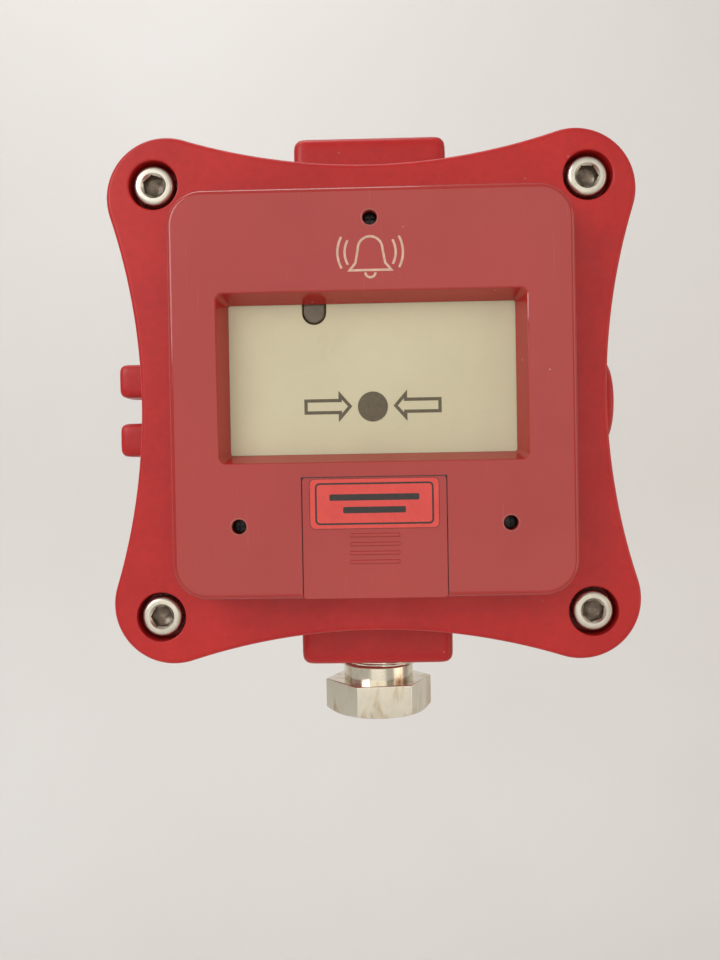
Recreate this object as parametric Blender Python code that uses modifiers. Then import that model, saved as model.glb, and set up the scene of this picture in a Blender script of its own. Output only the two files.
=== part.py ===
"""Manual call point in a red cast flameproof housing.

Frame: +Z is up along the wall, the front faces -Y, and the origin is the middle
of the housing's flat back face, which rests on the wall. Units are metres.
"""

import math

import bmesh
import bpy
from mathutils import Matrix, Vector

MM = 0.001
GAP = 0.3 * MM  # left between pieces that rest on each other
OVERSHOOT = 1.0 * MM  # how far a cutter runs past the face it opens
OVERLAP = 1.0 * MM  # how far joined shapes run into each other

# Housing outline, the same for the lid and for the flange behind it
LID_SPAN = 131.8 * MM  # over the corner lobes, both ways
SIDE_HOLLOW = 7.8 * MM  # each side's middle lies this far inside the lobes
LOBE_RADIUS = 15.0 * MM
SCREW_EDGE = 11.9 * MM  # from the lid's reach to each screw's axis, both ways
FLANGE_INSET = 0.5 * MM  # the flange lies this far inside the lid's outline

# Body shell
BODY_DEPTH = 48.0 * MM
FLANGE_THICKNESS = 10.0 * MM
FLANGE_LEDGE = 10.6 * MM  # from the middle of each hollowed side to the cavity
CAVITY_CORNER = 12.0 * MM
SIDE_WALL = 5.0 * MM
BACK_WALL = 5.0 * MM
BACK_EDGE_RADIUS = 3.0 * MM
BOSS_RADIUS = 10.0 * MM
BOSS_LENGTH = 34.0 * MM
BOSS_CHAMFER = 3.0 * MM
GROOVE_WIDTH = 3.0 * MM
GROOVE_DEPTH = 2.0 * MM
GROOVE_INSET = 1.7 * MM  # from the cavity's edge to the groove

# Cable entries, one above and one below
HUB_WIDTH = 40.0 * MM
HUB_FRONT_LEDGE = 1.0 * MM  # from the flange's face to the hub's front
HUB_BACK_LEDGE = 5.0 * MM  # from the wall to the hub's back
HUB_PROUD = 11.3 * MM  # past the middle of the lid's hollowed sides
HUB_EDGE_RADIUS = 2.0 * MM
ENTRY_THREAD_RADIUS = 10.4 * MM
SHOULDER_WALL = 3.0 * MM  # metal between the entry's inner end and the cavity
PASSAGE_RADIUS = 6.5 * MM

# Cast details on the body's sides and back
LUG_LENGTH = 20.1 * MM
LUG_HEIGHT = 9.6 * MM
LUG_SLOT = 7.2 * MM
LUG_DEPTH = 12.0 * MM
LUG_LEAD = 1.0 * MM  # the lugs' front lies this far before the entries' axis
LUG_HOLE_RADIUS = 1.6 * MM
LUG_HOLE_INSET = 6.0 * MM
LUG_EDGE_RADIUS = 1.2 * MM
SIDE_BOSS_RADIUS = 12.0 * MM
SIDE_BOSS_LENGTH = 12.9 * MM
SIDE_BOSS_CHAMFER = 1.5 * MM
WALL_HOLE_INSET = 11.5 * MM  # from the cavity's sides
WALL_HOLE_RADIUS = 2.5 * MM
WALL_HOLE_DEPTH = 9.0 * MM
WALL_BOSS_RADIUS = 6.0 * MM
WALL_BOSS_HEIGHT = 8.0 * MM
EARTH_PAD_OFFSET = 11.0 * MM  # beside the lower hub
EARTH_PAD_SIZE = 13.0 * MM
EARTH_PAD_HEIGHT = 3.0 * MM
PAD_EDGE_RADIUS = 0.8 * MM

# Lid
LID_THICKNESS = 11.7 * MM
LID_EDGE_RADIUS = 1.2 * MM
SPIGOT_LENGTH = 6.0 * MM
SPIGOT_CLEARANCE = 0.3 * MM
SPIGOT_WALL = 4.5 * MM
LID_WEB = 5.0 * MM  # metal left between the front and the rear pocket
FRONT_POCKET_DEPTH = 5.0 * MM
FRONT_POCKET_MARGIN = 4.0 * MM  # above and below the window
FRONT_POCKET_CORNER = 4.0 * MM

# Lid screws: M6 socket head with spring washers
SCREW_RADIUS = 3.0 * MM
SCREW_HEAD_RADIUS = 5.0 * MM
SCREW_HEAD_HEIGHT = 6.0 * MM
SCREW_LENGTH = 18.0 * MM
SCREW_SOCKET_FLATS = 5.0 * MM
SCREW_SINK = 0.5 * MM  # the head lies this far under the lid's face
SCREW_CLEARANCE = 0.4 * MM
COUNTERBORE_RADIUS = 6.1 * MM
SPRING_WASHER_THICKNESS = 1.5 * MM

# Front unit: moulded cover, press panel and base
COVER_SIDE_INSET = 17.7 * MM  # from the lid's reach to the cover's sides
COVER_END_INSET = 17.4 * MM  # and to its top and bottom
COVER_CENTRE_Z = 0.3 * MM
COVER_CORNER = 8.4 * MM
COVER_DEPTH = 12.7 * MM
COVER_WALL = 2.2 * MM
COVER_EDGE_RADIUS = 1.3 * MM
WINDOW_SIDE_MARGIN = 11.7 * MM  # from the cover's sides to the window
WINDOW_TOP_MARGIN = 24.7 * MM
WINDOW_BOTTOM_MARGIN = 32.3 * MM
WINDOW_DEPTH = 6.0 * MM
WINDOW_TAPER = 1.3 * MM  # each wall leans in this much over the window's depth
WINDOW_CORNER = 1.5 * MM
WINDOW_SKIRT = 1.6 * MM
PANEL_LAP = 1.8 * MM  # the panel runs this far behind the window's skirt
PANEL_THICKNESS = 2.0 * MM
PANEL_TRAVEL = 1.8 * MM
PANEL_CLEARANCE = 0.3 * MM
PANEL_EDGE_RADIUS = 0.3 * MM
NOTCH_X = -13.85 * MM
NOTCH_WIDTH = 5.8 * MM
NOTCH_DROP = 5.4 * MM  # below the window's visible top edge
BASE_THICKNESS = 2.0 * MM
BASE_RING_WALL = 1.6 * MM
LENS_SINK = 0.5 * MM
LED_RADIUS = 1.5 * MM
LED_LENGTH = 4.4 * MM
ACCESS_HOLE_RADIUS = 1.7 * MM
BASE_SCREW_RADIUS = 1.5 * MM
BASE_SCREW_HEAD_RADIUS = 2.8 * MM
BASE_SCREW_HEAD_HEIGHT = 2.2 * MM
BASE_SCREW_GRIP = 5.0 * MM  # thread length in the lid
BASE_SCREW_TOP_INSET = 7.4 * MM  # from the cover's top edge
BASE_SCREW_SIDE_INSET = 16.1 * MM
BASE_SCREW_LOW_INSET = 17.3 * MM  # from the cover's bottom edge
CROSS_SLOT_REACH = 1.2 * MM
CROSS_SLOT_HALF_WIDTH = 0.3 * MM
UNIT_BOARD_SIDE_INSET = 14.5 * MM  # inside the window
UNIT_BOARD_END_MARGIN = 1.0 * MM  # past the window
BOARD_THICKNESS = 1.6 * MM

# Sliding door over the telephone jack
DOOR_WIDTH = 34.5 * MM
DOOR_HEIGHT = 28.8 * MM
DOOR_CORNER = 0.8 * MM
DOOR_CLEARANCE = 0.25 * MM
DOOR_FLANGE = 2.0 * MM
DOOR_FLANGE_THICKNESS = 1.2 * MM
DOOR_TRAVEL = 22.0 * MM
LABEL_WIDTH = 30.4 * MM
LABEL_HEIGHT = 11.7 * MM
LABEL_TOP_DROP = 0.6 * MM
LABEL_THICKNESS = 0.25 * MM
LABEL_SINK = 0.05 * MM
LABEL_CORNER = 1.2 * MM
GRIP_RIBS = 4
GRIP_PITCH = 2.1 * MM
GRIP_WIDTH = 11.8 * MM
GRIP_HEIGHT = 0.9 * MM
GRIP_RISE = 0.3 * MM
GRIP_DROP = 1.6 * MM  # below the label
JACK_RISE = 17.7 * MM  # above the door's lower edge
JACK_RADIUS = 4.5 * MM
JACK_COLLAR_RADIUS = 5.6 * MM
JACK_COLLAR_THICKNESS = 1.5 * MM
JACK_BORE_RADIUS = 1.8 * MM

# Push rod through the lid, with its bush, spring and retaining ring
ROD_RADIUS = 2.5 * MM
ROD_CLEARANCE = 0.1 * MM
ROD_COLLAR_RADIUS = 4.0 * MM
ROD_COLLAR_THICKNESS = 1.2 * MM
ROD_BOSS_RADIUS = 4.6 * MM
ROD_BOSS_REACH = 3.7 * MM  # behind the press panel
BUSH_RADIUS = 6.5 * MM
BUSH_FLATS = 19.0 * MM
BUSH_HEAD = 5.5 * MM
BUSH_POCKET_RADIUS = 4.4 * MM
SPRING_WIRE = 0.6 * MM
SPRING_TURNS = 5
RETAINER_THICKNESS = 0.8 * MM
RETAINER_RADIUS = 4.4 * MM

# Panel detents
PANEL_LUG_INSET = 9.5 * MM  # from the window's sides
PANEL_LUG_THICKNESS = 2.0 * MM
PANEL_LUG_HEIGHT = 6.0 * MM
PANEL_LUG_REACH = 6.6 * MM
DETENT_THICKNESS = 0.4 * MM
DETENT_HEIGHT = 5.0 * MM
DETENT_FOOT = (8.0 * MM, 4.0 * MM)  # from the lug's face to the flat foot's two ends
DETENT_KNEE = (0.6 * MM, 2.2 * MM)  # gap to the lug's face, and height over the foot
DETENT_TIP = (1.8 * MM, 3.9 * MM)

# Main board, switch and terminals inside the body
PILLAR_RADIUS = 4.0 * MM
PILLAR_HEIGHT = 13.0 * MM
PILLAR_SIDE_INSET = 19.5 * MM  # from the cavity's sides
PILLAR_END_INSET = 20.5 * MM  # from its top and bottom
BOARD_MARGIN = 5.0 * MM
BOARD_SCREW_RADIUS = 1.5 * MM
BOARD_SCREW_HEAD_RADIUS = 2.8 * MM
BOARD_SCREW_LENGTH = 7.0 * MM
BOARD_SCREW_HEAD_HEIGHT = 2.0 * MM
SCREW_SLOT_REACH = 3.0 * MM
SCREW_SLOT_HALF_WIDTH = 0.4 * MM
SCREW_SLOT_DEPTH = 0.9 * MM
HEAD_CHAMFER = 0.8 * MM
SWITCH_WIDTH = 20.0 * MM
SWITCH_THICKNESS = 6.4 * MM
SWITCH_HEIGHT = 11.0 * MM
SWITCH_HOLE_RADIUS = 1.2 * MM
SWITCH_HOLE_INSET = 3.0 * MM
SWITCH_HOLE_DEPTH = 3.0 * MM
PLUNGER_RADIUS = 1.4 * MM
PLUNGER_PROUD = 2.2 * MM
TERMINAL_COUNT = 4
TERMINAL_PITCH = 7.5 * MM
TERMINAL_RISE = 7.0 * MM  # above the lower board screws
TERMINAL_DEPTH = 11.0 * MM
TERMINAL_HEIGHT = 11.0 * MM
TERMINAL_SCREW_RADIUS = 2.0 * MM
TERMINAL_SCREW_SINK = 0.8 * MM
TERMINAL_SCREW_LENGTH = 4.0 * MM
TERMINAL_PORT_RADIUS = 1.7 * MM

# Earth terminals
EARTH_SCREW_RADIUS = 2.5 * MM
EARTH_HEAD_FLATS = 8.0 * MM
EARTH_HEAD_HEIGHT = 3.5 * MM
EARTH_THREAD = 5.6 * MM
EARTH_WASHER_RADIUS = 4.5 * MM
CLAMP_SIZE = 11.0 * MM
CLAMP_THICKNESS = 1.5 * MM
INNER_EARTH_INSET = 9.0 * MM  # from the cavity's left side
INNER_EARTH_Z = -20.0 * MM
INNER_EARTH_BOSS = 5.0 * MM
INNER_EARTH_BOSS_WALL = 2.5 * MM

# Cable gland parts in the lower hub, stopping plug in the upper one
GLAND_SEAL_THICKNESS = 6.0 * MM
GLAND_SEAL_BORE = 4.0 * MM
GLAND_WASHER_THICKNESS = 1.2 * MM
BLANK_THICKNESS = 1.5 * MM
NUT_NECK = 7.0 * MM  # thread showing between the hub and the hexagon
NUT_NECK_RELIEF = 0.4 * MM  # the neck is this much thinner than the thread
NUT_THREAD_SHOWING = 2.2 * MM
NUT_CHAMFER = 1.4 * MM
NUT_MOUTH_FLARE = 2.2 * MM
NUT_FLATS = 26.0 * MM
NUT_HEX_HEIGHT = 9.4 * MM
NUT_BORE_RADIUS = 7.0 * MM
NUT_TURN = math.radians(7.0)  # how far the front flat is turned at rest
PLUG_SOCKET_FLATS = 10.0 * MM
PLUG_SOCKET_DEPTH = 6.0 * MM
PLUG_GASKET_THICKNESS = 1.5 * MM
PLUG_SINK = 0.4 * MM

# Sizes and places that follow from those above. Y grows towards the wall.
WAIST_SPAN = LID_SPAN - 2 * SIDE_HOLLOW
SCREW_PITCH = LID_SPAN - 2 * SCREW_EDGE
CAVITY_SPAN = WAIST_SPAN - 2 * FLANGE_LEDGE
TUB_SPAN = CAVITY_SPAN + 2 * SIDE_WALL
TUB_CORNER = CAVITY_CORNER + SIDE_WALL
HUB_REACH = WAIST_SPAN / 2 + HUB_PROUD
HUB_DEPTH = BODY_DEPTH - HUB_FRONT_LEDGE - HUB_BACK_LEDGE
ENTRY_AXIS_Y = -HUB_BACK_LEDGE - HUB_DEPTH / 2
LUG_REACH = TUB_SPAN / 2 + LUG_LENGTH
LUG_FRONT_Y = ENTRY_AXIS_Y - LUG_LEAD
SIDE_BOSS_REACH = TUB_SPAN / 2 + SIDE_BOSS_LENGTH
EARTH_PAD_X = HUB_WIDTH / 2 + EARTH_PAD_OFFSET
COVER_WIDTH = LID_SPAN - 2 * COVER_SIDE_INSET
COVER_HEIGHT = LID_SPAN - 2 * COVER_END_INSET
COVER_TOP = COVER_CENTRE_Z + COVER_HEIGHT / 2
COVER_BOTTOM = COVER_CENTRE_Z - COVER_HEIGHT / 2
WINDOW_WIDTH = COVER_WIDTH - 2 * WINDOW_SIDE_MARGIN
WINDOW_HEIGHT = COVER_HEIGHT - WINDOW_TOP_MARGIN - WINDOW_BOTTOM_MARGIN
WINDOW_CENTRE_Z = (COVER_TOP - WINDOW_TOP_MARGIN + COVER_BOTTOM + WINDOW_BOTTOM_MARGIN) / 2
FLANGE_FACE = -BODY_DEPTH
LID_BACK = FLANGE_FACE - GAP
LID_FRONT = LID_BACK - LID_THICKNESS
REAR_POCKET_FLOOR = LID_FRONT + FRONT_POCKET_DEPTH + LID_WEB
FRONT_POCKET_FLOOR = LID_FRONT + FRONT_POCKET_DEPTH
COVER_BACK = LID_FRONT - GAP
COVER_FRONT = COVER_BACK - COVER_DEPTH
SKIRT_END = COVER_FRONT + WINDOW_DEPTH
PANEL_FRONT = SKIRT_END + GAP
PANEL_BACK = PANEL_FRONT + PANEL_THICKNESS
BASE_BACK = COVER_BACK
BASE_FRONT = BASE_BACK - BASE_THICKNESS
PANEL_WIDTH = WINDOW_WIDTH - 2 * WINDOW_TAPER + 2 * PANEL_LAP
PANEL_HEIGHT = WINDOW_HEIGHT - 2 * WINDOW_TAPER + 2 * PANEL_LAP
NOTCH_BOTTOM_Z = WINDOW_CENTRE_Z + WINDOW_HEIGHT / 2 - WINDOW_TAPER - NOTCH_DROP
DOOR_BOTTOM_Z = COVER_BOTTOM
DOOR_TOP_Z = DOOR_BOTTOM_Z + DOOR_HEIGHT
JACK_Z = DOOR_BOTTOM_Z + JACK_RISE
DOOR_BACK = COVER_FRONT + COVER_WALL
SCREW_CENTRES = [(x * SCREW_PITCH / 2, z * SCREW_PITCH / 2) for z in (1, -1) for x in (-1, 1)]
BASE_SCREW_X = COVER_WIDTH / 2 - BASE_SCREW_SIDE_INSET
BASE_SCREW_LOW_Z = COVER_BOTTOM + BASE_SCREW_LOW_INSET
BASE_SCREWS = [
    (0.0, COVER_TOP - BASE_SCREW_TOP_INSET),
    (-BASE_SCREW_X, BASE_SCREW_LOW_Z),
    (BASE_SCREW_X, BASE_SCREW_LOW_Z),
]
PANEL_LUG_X = WINDOW_WIDTH / 2 - PANEL_LUG_INSET
PILLAR_X = CAVITY_SPAN / 2 - PILLAR_SIDE_INSET
PILLAR_Z = CAVITY_SPAN / 2 - PILLAR_END_INSET
PILLARS = [(x * PILLAR_X, z * PILLAR_Z) for z in (1, -1) for x in (-1, 1)]
TERMINAL_Z = -PILLAR_Z + TERMINAL_RISE
INNER_EARTH_PLACE = (-CAVITY_SPAN / 2 + INNER_EARTH_INSET, INNER_EARTH_Z)
CAVITY_FLOOR = -BACK_WALL
BOARD_BACK = CAVITY_FLOOR - PILLAR_HEIGHT - GAP
BOARD_FRONT = BOARD_BACK - BOARD_THICKNESS
SWITCH_BACK = BOARD_FRONT - GAP
SWITCH_FRONT = SWITCH_BACK - SWITCH_HEIGHT
PLUNGER_TIP = SWITCH_FRONT - PLUNGER_PROUD
ROD_Z = WINDOW_CENTRE_Z
ROD_FRONT = PANEL_BACK + ROD_BOSS_REACH + GAP
ROD_BACK = PLUNGER_TIP - GAP
BUSH_FRONT = FRONT_POCKET_FLOOR - OVERLAP / 2
BUSH_BACK = REAR_POCKET_FLOOR + GAP + BUSH_HEAD
BUSH_POCKET_FLOOR = REAR_POCKET_FLOOR + OVERLAP / 2
ENTRY_BORE_RADIUS = ENTRY_THREAD_RADIUS + GAP
SHOULDER_REACH = CAVITY_SPAN / 2 + SHOULDER_WALL
NUT_NECK_RADIUS = ENTRY_THREAD_RADIUS - NUT_NECK_RELIEF

PARTS = None
CUTTERS = None

RED_PAINT = ((0.52, 0.035, 0.03), 0.42, 0.0)
RED_PLASTIC = ((0.45, 0.03, 0.025), 0.18, 0.0)
CREAM_PLASTIC = ((0.68, 0.62, 0.44), 0.4, 0.0)
BLACK_PLASTIC = ((0.02, 0.02, 0.02), 0.45, 0.0)
GREY_LENS = ((0.16, 0.13, 0.09), 0.3, 0.0)
LED_RED = ((0.6, 0.02, 0.02), 0.15, 0.0)
LABEL_RED = ((0.8, 0.08, 0.05), 0.5, 0.0)
NICKEL = ((0.72, 0.69, 0.62), 0.2, 1.0)
STEEL = ((0.55, 0.54, 0.51), 0.32, 1.0)
BLACK_STEEL = ((0.04, 0.04, 0.045), 0.4, 1.0)
BRASS = ((0.71, 0.52, 0.22), 0.3, 1.0)
RUBBER = ((0.02, 0.02, 0.02), 0.8, 0.0)
BOARD_GREEN = ((0.02, 0.2, 0.07), 0.45, 0.0)
TERMINAL_GREEN = ((0.05, 0.3, 0.12), 0.45, 0.0)


# ---------------------------------------------------------------- helpers


def start_scene():
    """Empties the scene and makes a collection for the parts and one for the cutters."""
    global PARTS, CUTTERS
    for obj in list(bpy.data.objects):
        bpy.data.objects.remove(obj)
    PARTS = bpy.data.collections.new("manual_call_point")
    CUTTERS = bpy.data.collections.new("cutters")
    for collection in (PARTS, CUTTERS):
        bpy.context.scene.collection.children.link(collection)


def added(name, mesh, matrix=None):
    """A new object in the parts collection."""
    obj = bpy.data.objects.new(name, mesh)
    PARTS.objects.link(obj)
    if matrix is not None:
        obj.matrix_world = matrix
    return obj


def finished(obj, look, sharp_degrees=35.0):
    """Gives a sub-part its own material and smooth shading with sharp corners."""
    colour, roughness, metallic = look
    skin = bpy.data.materials.new(obj.name + "_material")
    skin.use_nodes = True
    shader = skin.node_tree.nodes["Principled BSDF"]
    shader.inputs["Base Color"].default_value = (*colour, 1.0)
    shader.inputs["Roughness"].default_value = roughness
    shader.inputs["Metallic"].default_value = metallic
    obj.data.materials.clear()
    obj.data.materials.append(skin)
    obj.data.shade_smooth()
    obj.data.set_sharp_from_angle(angle=math.radians(sharp_degrees))
    return obj


def combine(obj, tool, operation):
    """Adds a Boolean with the tool, which moves to the cutters."""
    if tool.name in PARTS.objects:
        PARTS.objects.unlink(tool)
        CUTTERS.objects.link(tool)
    tool.hide_render = True
    tool.display_type = "WIRE"
    step = obj.modifiers.new(tool.name, "BOOLEAN")
    step.operation = operation
    step.object = tool
    step.solver = "EXACT"
    return obj


def cut(obj, *tools):
    """Takes each tool's shape out of the object."""
    for tool in tools:
        combine(obj, tool, "DIFFERENCE")
    return obj


def join(obj, *tools):
    """Adds each tool's shape to the object."""
    for tool in tools:
        combine(obj, tool, "UNION")
    return obj


def axis_matrix(start, end):
    """A frame at the middle of start and end, with its Z along the line between them."""
    start, end = Vector(start), Vector(end)
    turn = (end - start).to_track_quat("Z", "Y").to_matrix().to_4x4()
    return Matrix.Translation((start + end) / 2) @ turn


def cylinder(name, radius, start, end, segments=32, end_radius=None, spin=0.0):
    """A solid cylinder, cone or prism from start to end."""
    length = (Vector(end) - Vector(start)).length
    mesh = bpy.data.meshes.new(name)
    shape = bmesh.new()
    bmesh.ops.create_cone(
        shape,
        cap_ends=True,
        segments=segments,
        radius1=radius,
        radius2=radius if end_radius is None else end_radius,
        depth=length,
        matrix=Matrix.Rotation(spin, 4, "Z"),
    )
    shape.to_mesh(mesh)
    shape.free()
    return added(name, mesh, axis_matrix(start, end))


def pin(name, radius, place, front, back, segments=32):
    """A cylinder along the depth, centred on place = (x, z)."""
    x, z = place
    return cylinder(name, radius, (x, front, z), (x, back, z), segments)


def pins(name, radius, places, front, back, segments=16):
    """Several such cylinders in one object, used as one cutter."""
    mesh = bpy.data.meshes.new(name)
    shape = bmesh.new()
    for x, z in places:
        bmesh.ops.create_cone(
            shape,
            cap_ends=True,
            segments=segments,
            radius1=radius,
            radius2=radius,
            depth=back - front,
            matrix=axis_matrix((x, front, z), (x, back, z)),
        )
    shape.to_mesh(mesh)
    shape.free()
    return added(name, mesh)


def prism(name, flats, start, end, spin=0.0):
    """A hexagonal prism with the given distance across its flats."""
    return cylinder(name, flats / math.sqrt(3), start, end, segments=6, spin=spin)


def box(name, low, high, radius=0.0, segments=2):
    """A box between two corners, with its edges rounded if a radius is given."""
    low, high = Vector(low), Vector(high)
    size = high - low
    mesh = bpy.data.meshes.new(name)
    shape = bmesh.new()
    bmesh.ops.create_cube(shape, size=1.0, matrix=Matrix.Diagonal((*size, 1.0)))
    if radius:
        bmesh.ops.bevel(
            shape,
            geom=shape.edges[:],
            offset=radius,
            segments=segments,
            affect="EDGES",
            profile=0.5,
        )
    shape.to_mesh(mesh)
    shape.free()
    return added(name, mesh, Matrix.Translation((low + high) / 2))


def arc(centre, radius, start, end, steps):
    """Points along an arc, angles in radians, both ends included."""
    points = []
    for step in range(steps + 1):
        angle = start + (end - start) * step / steps
        points.append((centre[0] + radius * math.cos(angle), centre[1] + radius * math.sin(angle)))
    return points


def rounded_rectangle(width, height, radius, centre=(0.0, 0.0), steps=4):
    """The outline of a rectangle with round corners, counter-clockwise."""
    points = []
    for corner, (x, z) in enumerate(((1, 1), (-1, 1), (-1, -1), (1, -1))):
        middle = (
            centre[0] + x * (width / 2 - radius),
            centre[1] + z * (height / 2 - radius),
        )
        start = corner * math.pi / 2
        points += arc(middle, radius, start, start + math.pi / 2, steps)
    return points


def lobed_outline(inset=0.0, lobe_steps=8, side_steps=6):
    """Four round corner lobes joined by hollow sides that run into them smoothly."""
    lobe = LOBE_RADIUS - inset
    reach = LID_SPAN / 2 - LOBE_RADIUS
    waist = WAIST_SPAN / 2 - inset
    rise = waist - reach
    side = (rise**2 + reach**2 - lobe**2) / (2 * (lobe - rise))
    lean = math.asin(reach / (side + lobe))
    points = []
    for corner in range(4):
        turn = corner * math.pi / 2
        right_side = arc((waist + side, 0.0), side, math.pi + lean, math.pi - lean, side_steps)
        lobe_arc = arc((reach, reach), lobe, -lean, math.pi / 2 + lean, lobe_steps)
        for x, z in right_side[:-1] + lobe_arc[:-1]:
            points.append(
                (x * math.cos(turn) - z * math.sin(turn), x * math.sin(turn) + z * math.cos(turn))
            )
    return points


def slab(name, outlines, front, back):
    """A flat plate between two depths. Later outlines are holes in the first.

    The plate's own +Z points to the front.
    """
    curve = bpy.data.curves.new(name + "_outline", "CURVE")
    curve.dimensions = "2D"
    curve.fill_mode = "BOTH"
    curve.extrude = (back - front) / 2
    for outline in outlines:
        spline = curve.splines.new("POLY")
        spline.points.add(len(outline) - 1)
        for point, (x, z) in zip(spline.points, outline):
            point.co = (x, z, 0.0, 1.0)
        spline.use_cyclic_u = True
    guide = added(name + "_guide", curve)
    guide.location = (0.0, (front + back) / 2, 0.0)
    guide.rotation_euler = (math.pi / 2, 0.0, 0.0)
    bpy.context.view_layer.update()
    evaluated = guide.evaluated_get(bpy.context.evaluated_depsgraph_get())
    mesh = bpy.data.meshes.new_from_object(evaluated)
    shape = bmesh.new()
    shape.from_mesh(mesh)
    bmesh.ops.remove_doubles(shape, verts=shape.verts[:], dist=1e-6)
    bmesh.ops.dissolve_limit(
        shape, angle_limit=math.radians(0.5), verts=shape.verts[:], edges=shape.edges[:]
    )
    bmesh.ops.recalc_face_normals(shape, faces=shape.faces[:])
    shape.to_mesh(mesh)
    shape.free()
    plate = added(name, mesh, guide.matrix_world.copy())
    bpy.data.objects.remove(guide)
    return plate


def round_rim(plate, radius, front=True, back=False, segments=2, keep=None):
    """Rounds a slab's front rim, back rim or both. keep(edge) can leave edges out."""
    shape = bmesh.new()
    shape.from_mesh(plate.data)
    top = max(vertex.co.z for vertex in shape.verts)
    bottom = min(vertex.co.z for vertex in shape.verts)
    levels = [top] * front + [bottom] * back
    chosen = []
    for edge in shape.edges:
        on_level = any(all(abs(v.co.z - level) < 1e-6 for v in edge.verts) for level in levels)
        is_rim = on_level and edge.calc_face_angle(0.0) > math.radians(30)
        if is_rim and (keep is None or keep(edge)):
            chosen.append(edge)
    bmesh.ops.bevel(
        shape, geom=chosen, offset=radius, segments=segments, affect="EDGES", profile=0.5
    )
    shape.to_mesh(plate.data)
    shape.free()
    return plate


def tapered(plate, centre, width, height, inset):
    """Draws a slab's back face in by inset on every side."""
    scale_x = (width - 2 * inset) / width
    scale_z = (height - 2 * inset) / height
    for vertex in plate.data.vertices:
        if vertex.co.z < 0:
            vertex.co.x = centre[0] + (vertex.co.x - centre[0]) * scale_x
            vertex.co.y = centre[1] + (vertex.co.y - centre[1]) * scale_z
    return plate


def turned(name, profile, start, end, segments=32, closed=False):
    """A turned solid: profile points are (radius, distance from start) along start to end.

    An open profile begins and ends on the axis. It is listed from the far end back to the start.
    """
    mesh = bpy.data.meshes.new(name)
    shape = bmesh.new()
    ring = [shape.verts.new((radius, 0.0, along)) for radius, along in profile]
    for first, second in zip(ring, ring[1:]):
        shape.edges.new((first, second))
    if closed:
        shape.edges.new((ring[-1], ring[0]))
    shape.to_mesh(mesh)
    shape.free()
    direction = Vector(end) - Vector(start)
    turn = direction.to_track_quat("Z", "Y").to_matrix().to_4x4()
    obj = added(name, mesh, Matrix.Translation(start) @ turn)
    screw = obj.modifiers.new("turn", "SCREW")
    screw.axis = "Z"
    screw.angle = math.tau
    screw.steps = segments
    screw.render_steps = segments
    screw.use_merge_vertices = True
    screw.merge_threshold = 1e-5
    screw.use_smooth_shade = True
    return obj


def ring(name, outer, inner, start, end, segments=24):
    """A flat ring or tube."""
    length = (Vector(end) - Vector(start)).length
    profile = [(outer, length), (outer, 0.0), (inner, 0.0), (inner, length)]
    return turned(name, profile, start, end, segments, closed=True)


def depth_ring(name, outer, inner, place, front, back, segments=20):
    """A flat ring whose axis runs along the depth."""
    x, z = place
    return ring(name, outer, inner, (x, front, z), (x, back, z), segments)


def guided_by(name, place, *movers):
    """Parents moving pieces to an empty on their joint's axis."""
    axis = bpy.data.objects.new(name, None)
    axis.empty_display_size = 10 * MM
    axis.location = place
    PARTS.objects.link(axis)
    bpy.context.view_layer.update()
    for mover in movers:
        mover.parent = axis
        mover.matrix_parent_inverse = axis.matrix_world.inverted()
    return axis


def square(span, corner, inset=0.0, steps=4):
    """The housing's rounded square, drawn in or let out by inset."""
    return rounded_rectangle(span - 2 * inset, span - 2 * inset, corner - inset, steps=steps)


# ---------------------------------------------------------------- housing


def entry_bore(name, side):
    """Threaded entry and narrower passage through one hub. side is +1 above, -1 below."""
    bore = cylinder(
        name,
        ENTRY_BORE_RADIUS,
        (0, ENTRY_AXIS_Y, side * (HUB_REACH + OVERSHOOT)),
        (0, ENTRY_AXIS_Y, side * SHOULDER_REACH),
        segments=32,
    )
    passage = cylinder(
        name + "_passage",
        PASSAGE_RADIUS,
        (0, ENTRY_AXIS_Y, side * (SHOULDER_REACH + OVERLAP)),
        (0, ENTRY_AXIS_Y, side * (CAVITY_SPAN / 2 - OVERSHOOT)),
        segments=20,
    )
    return bore, passage


def side_lugs():
    """Two flat lugs on the left side with a slot between them."""
    lugs = []
    for side in (1, -1):
        near = side * LUG_SLOT / 2
        far = side * (LUG_SLOT / 2 + LUG_HEIGHT)
        lug = box(
            "upper_lug" if side > 0 else "lower_lug",
            (-LUG_REACH, LUG_FRONT_Y, min(near, far)),
            (-CAVITY_SPAN / 2 - OVERLAP, LUG_FRONT_Y + LUG_DEPTH, max(near, far)),
            radius=LUG_EDGE_RADIUS,
            segments=1,
        )
        lugs.append(lug)
    return lugs


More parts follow.
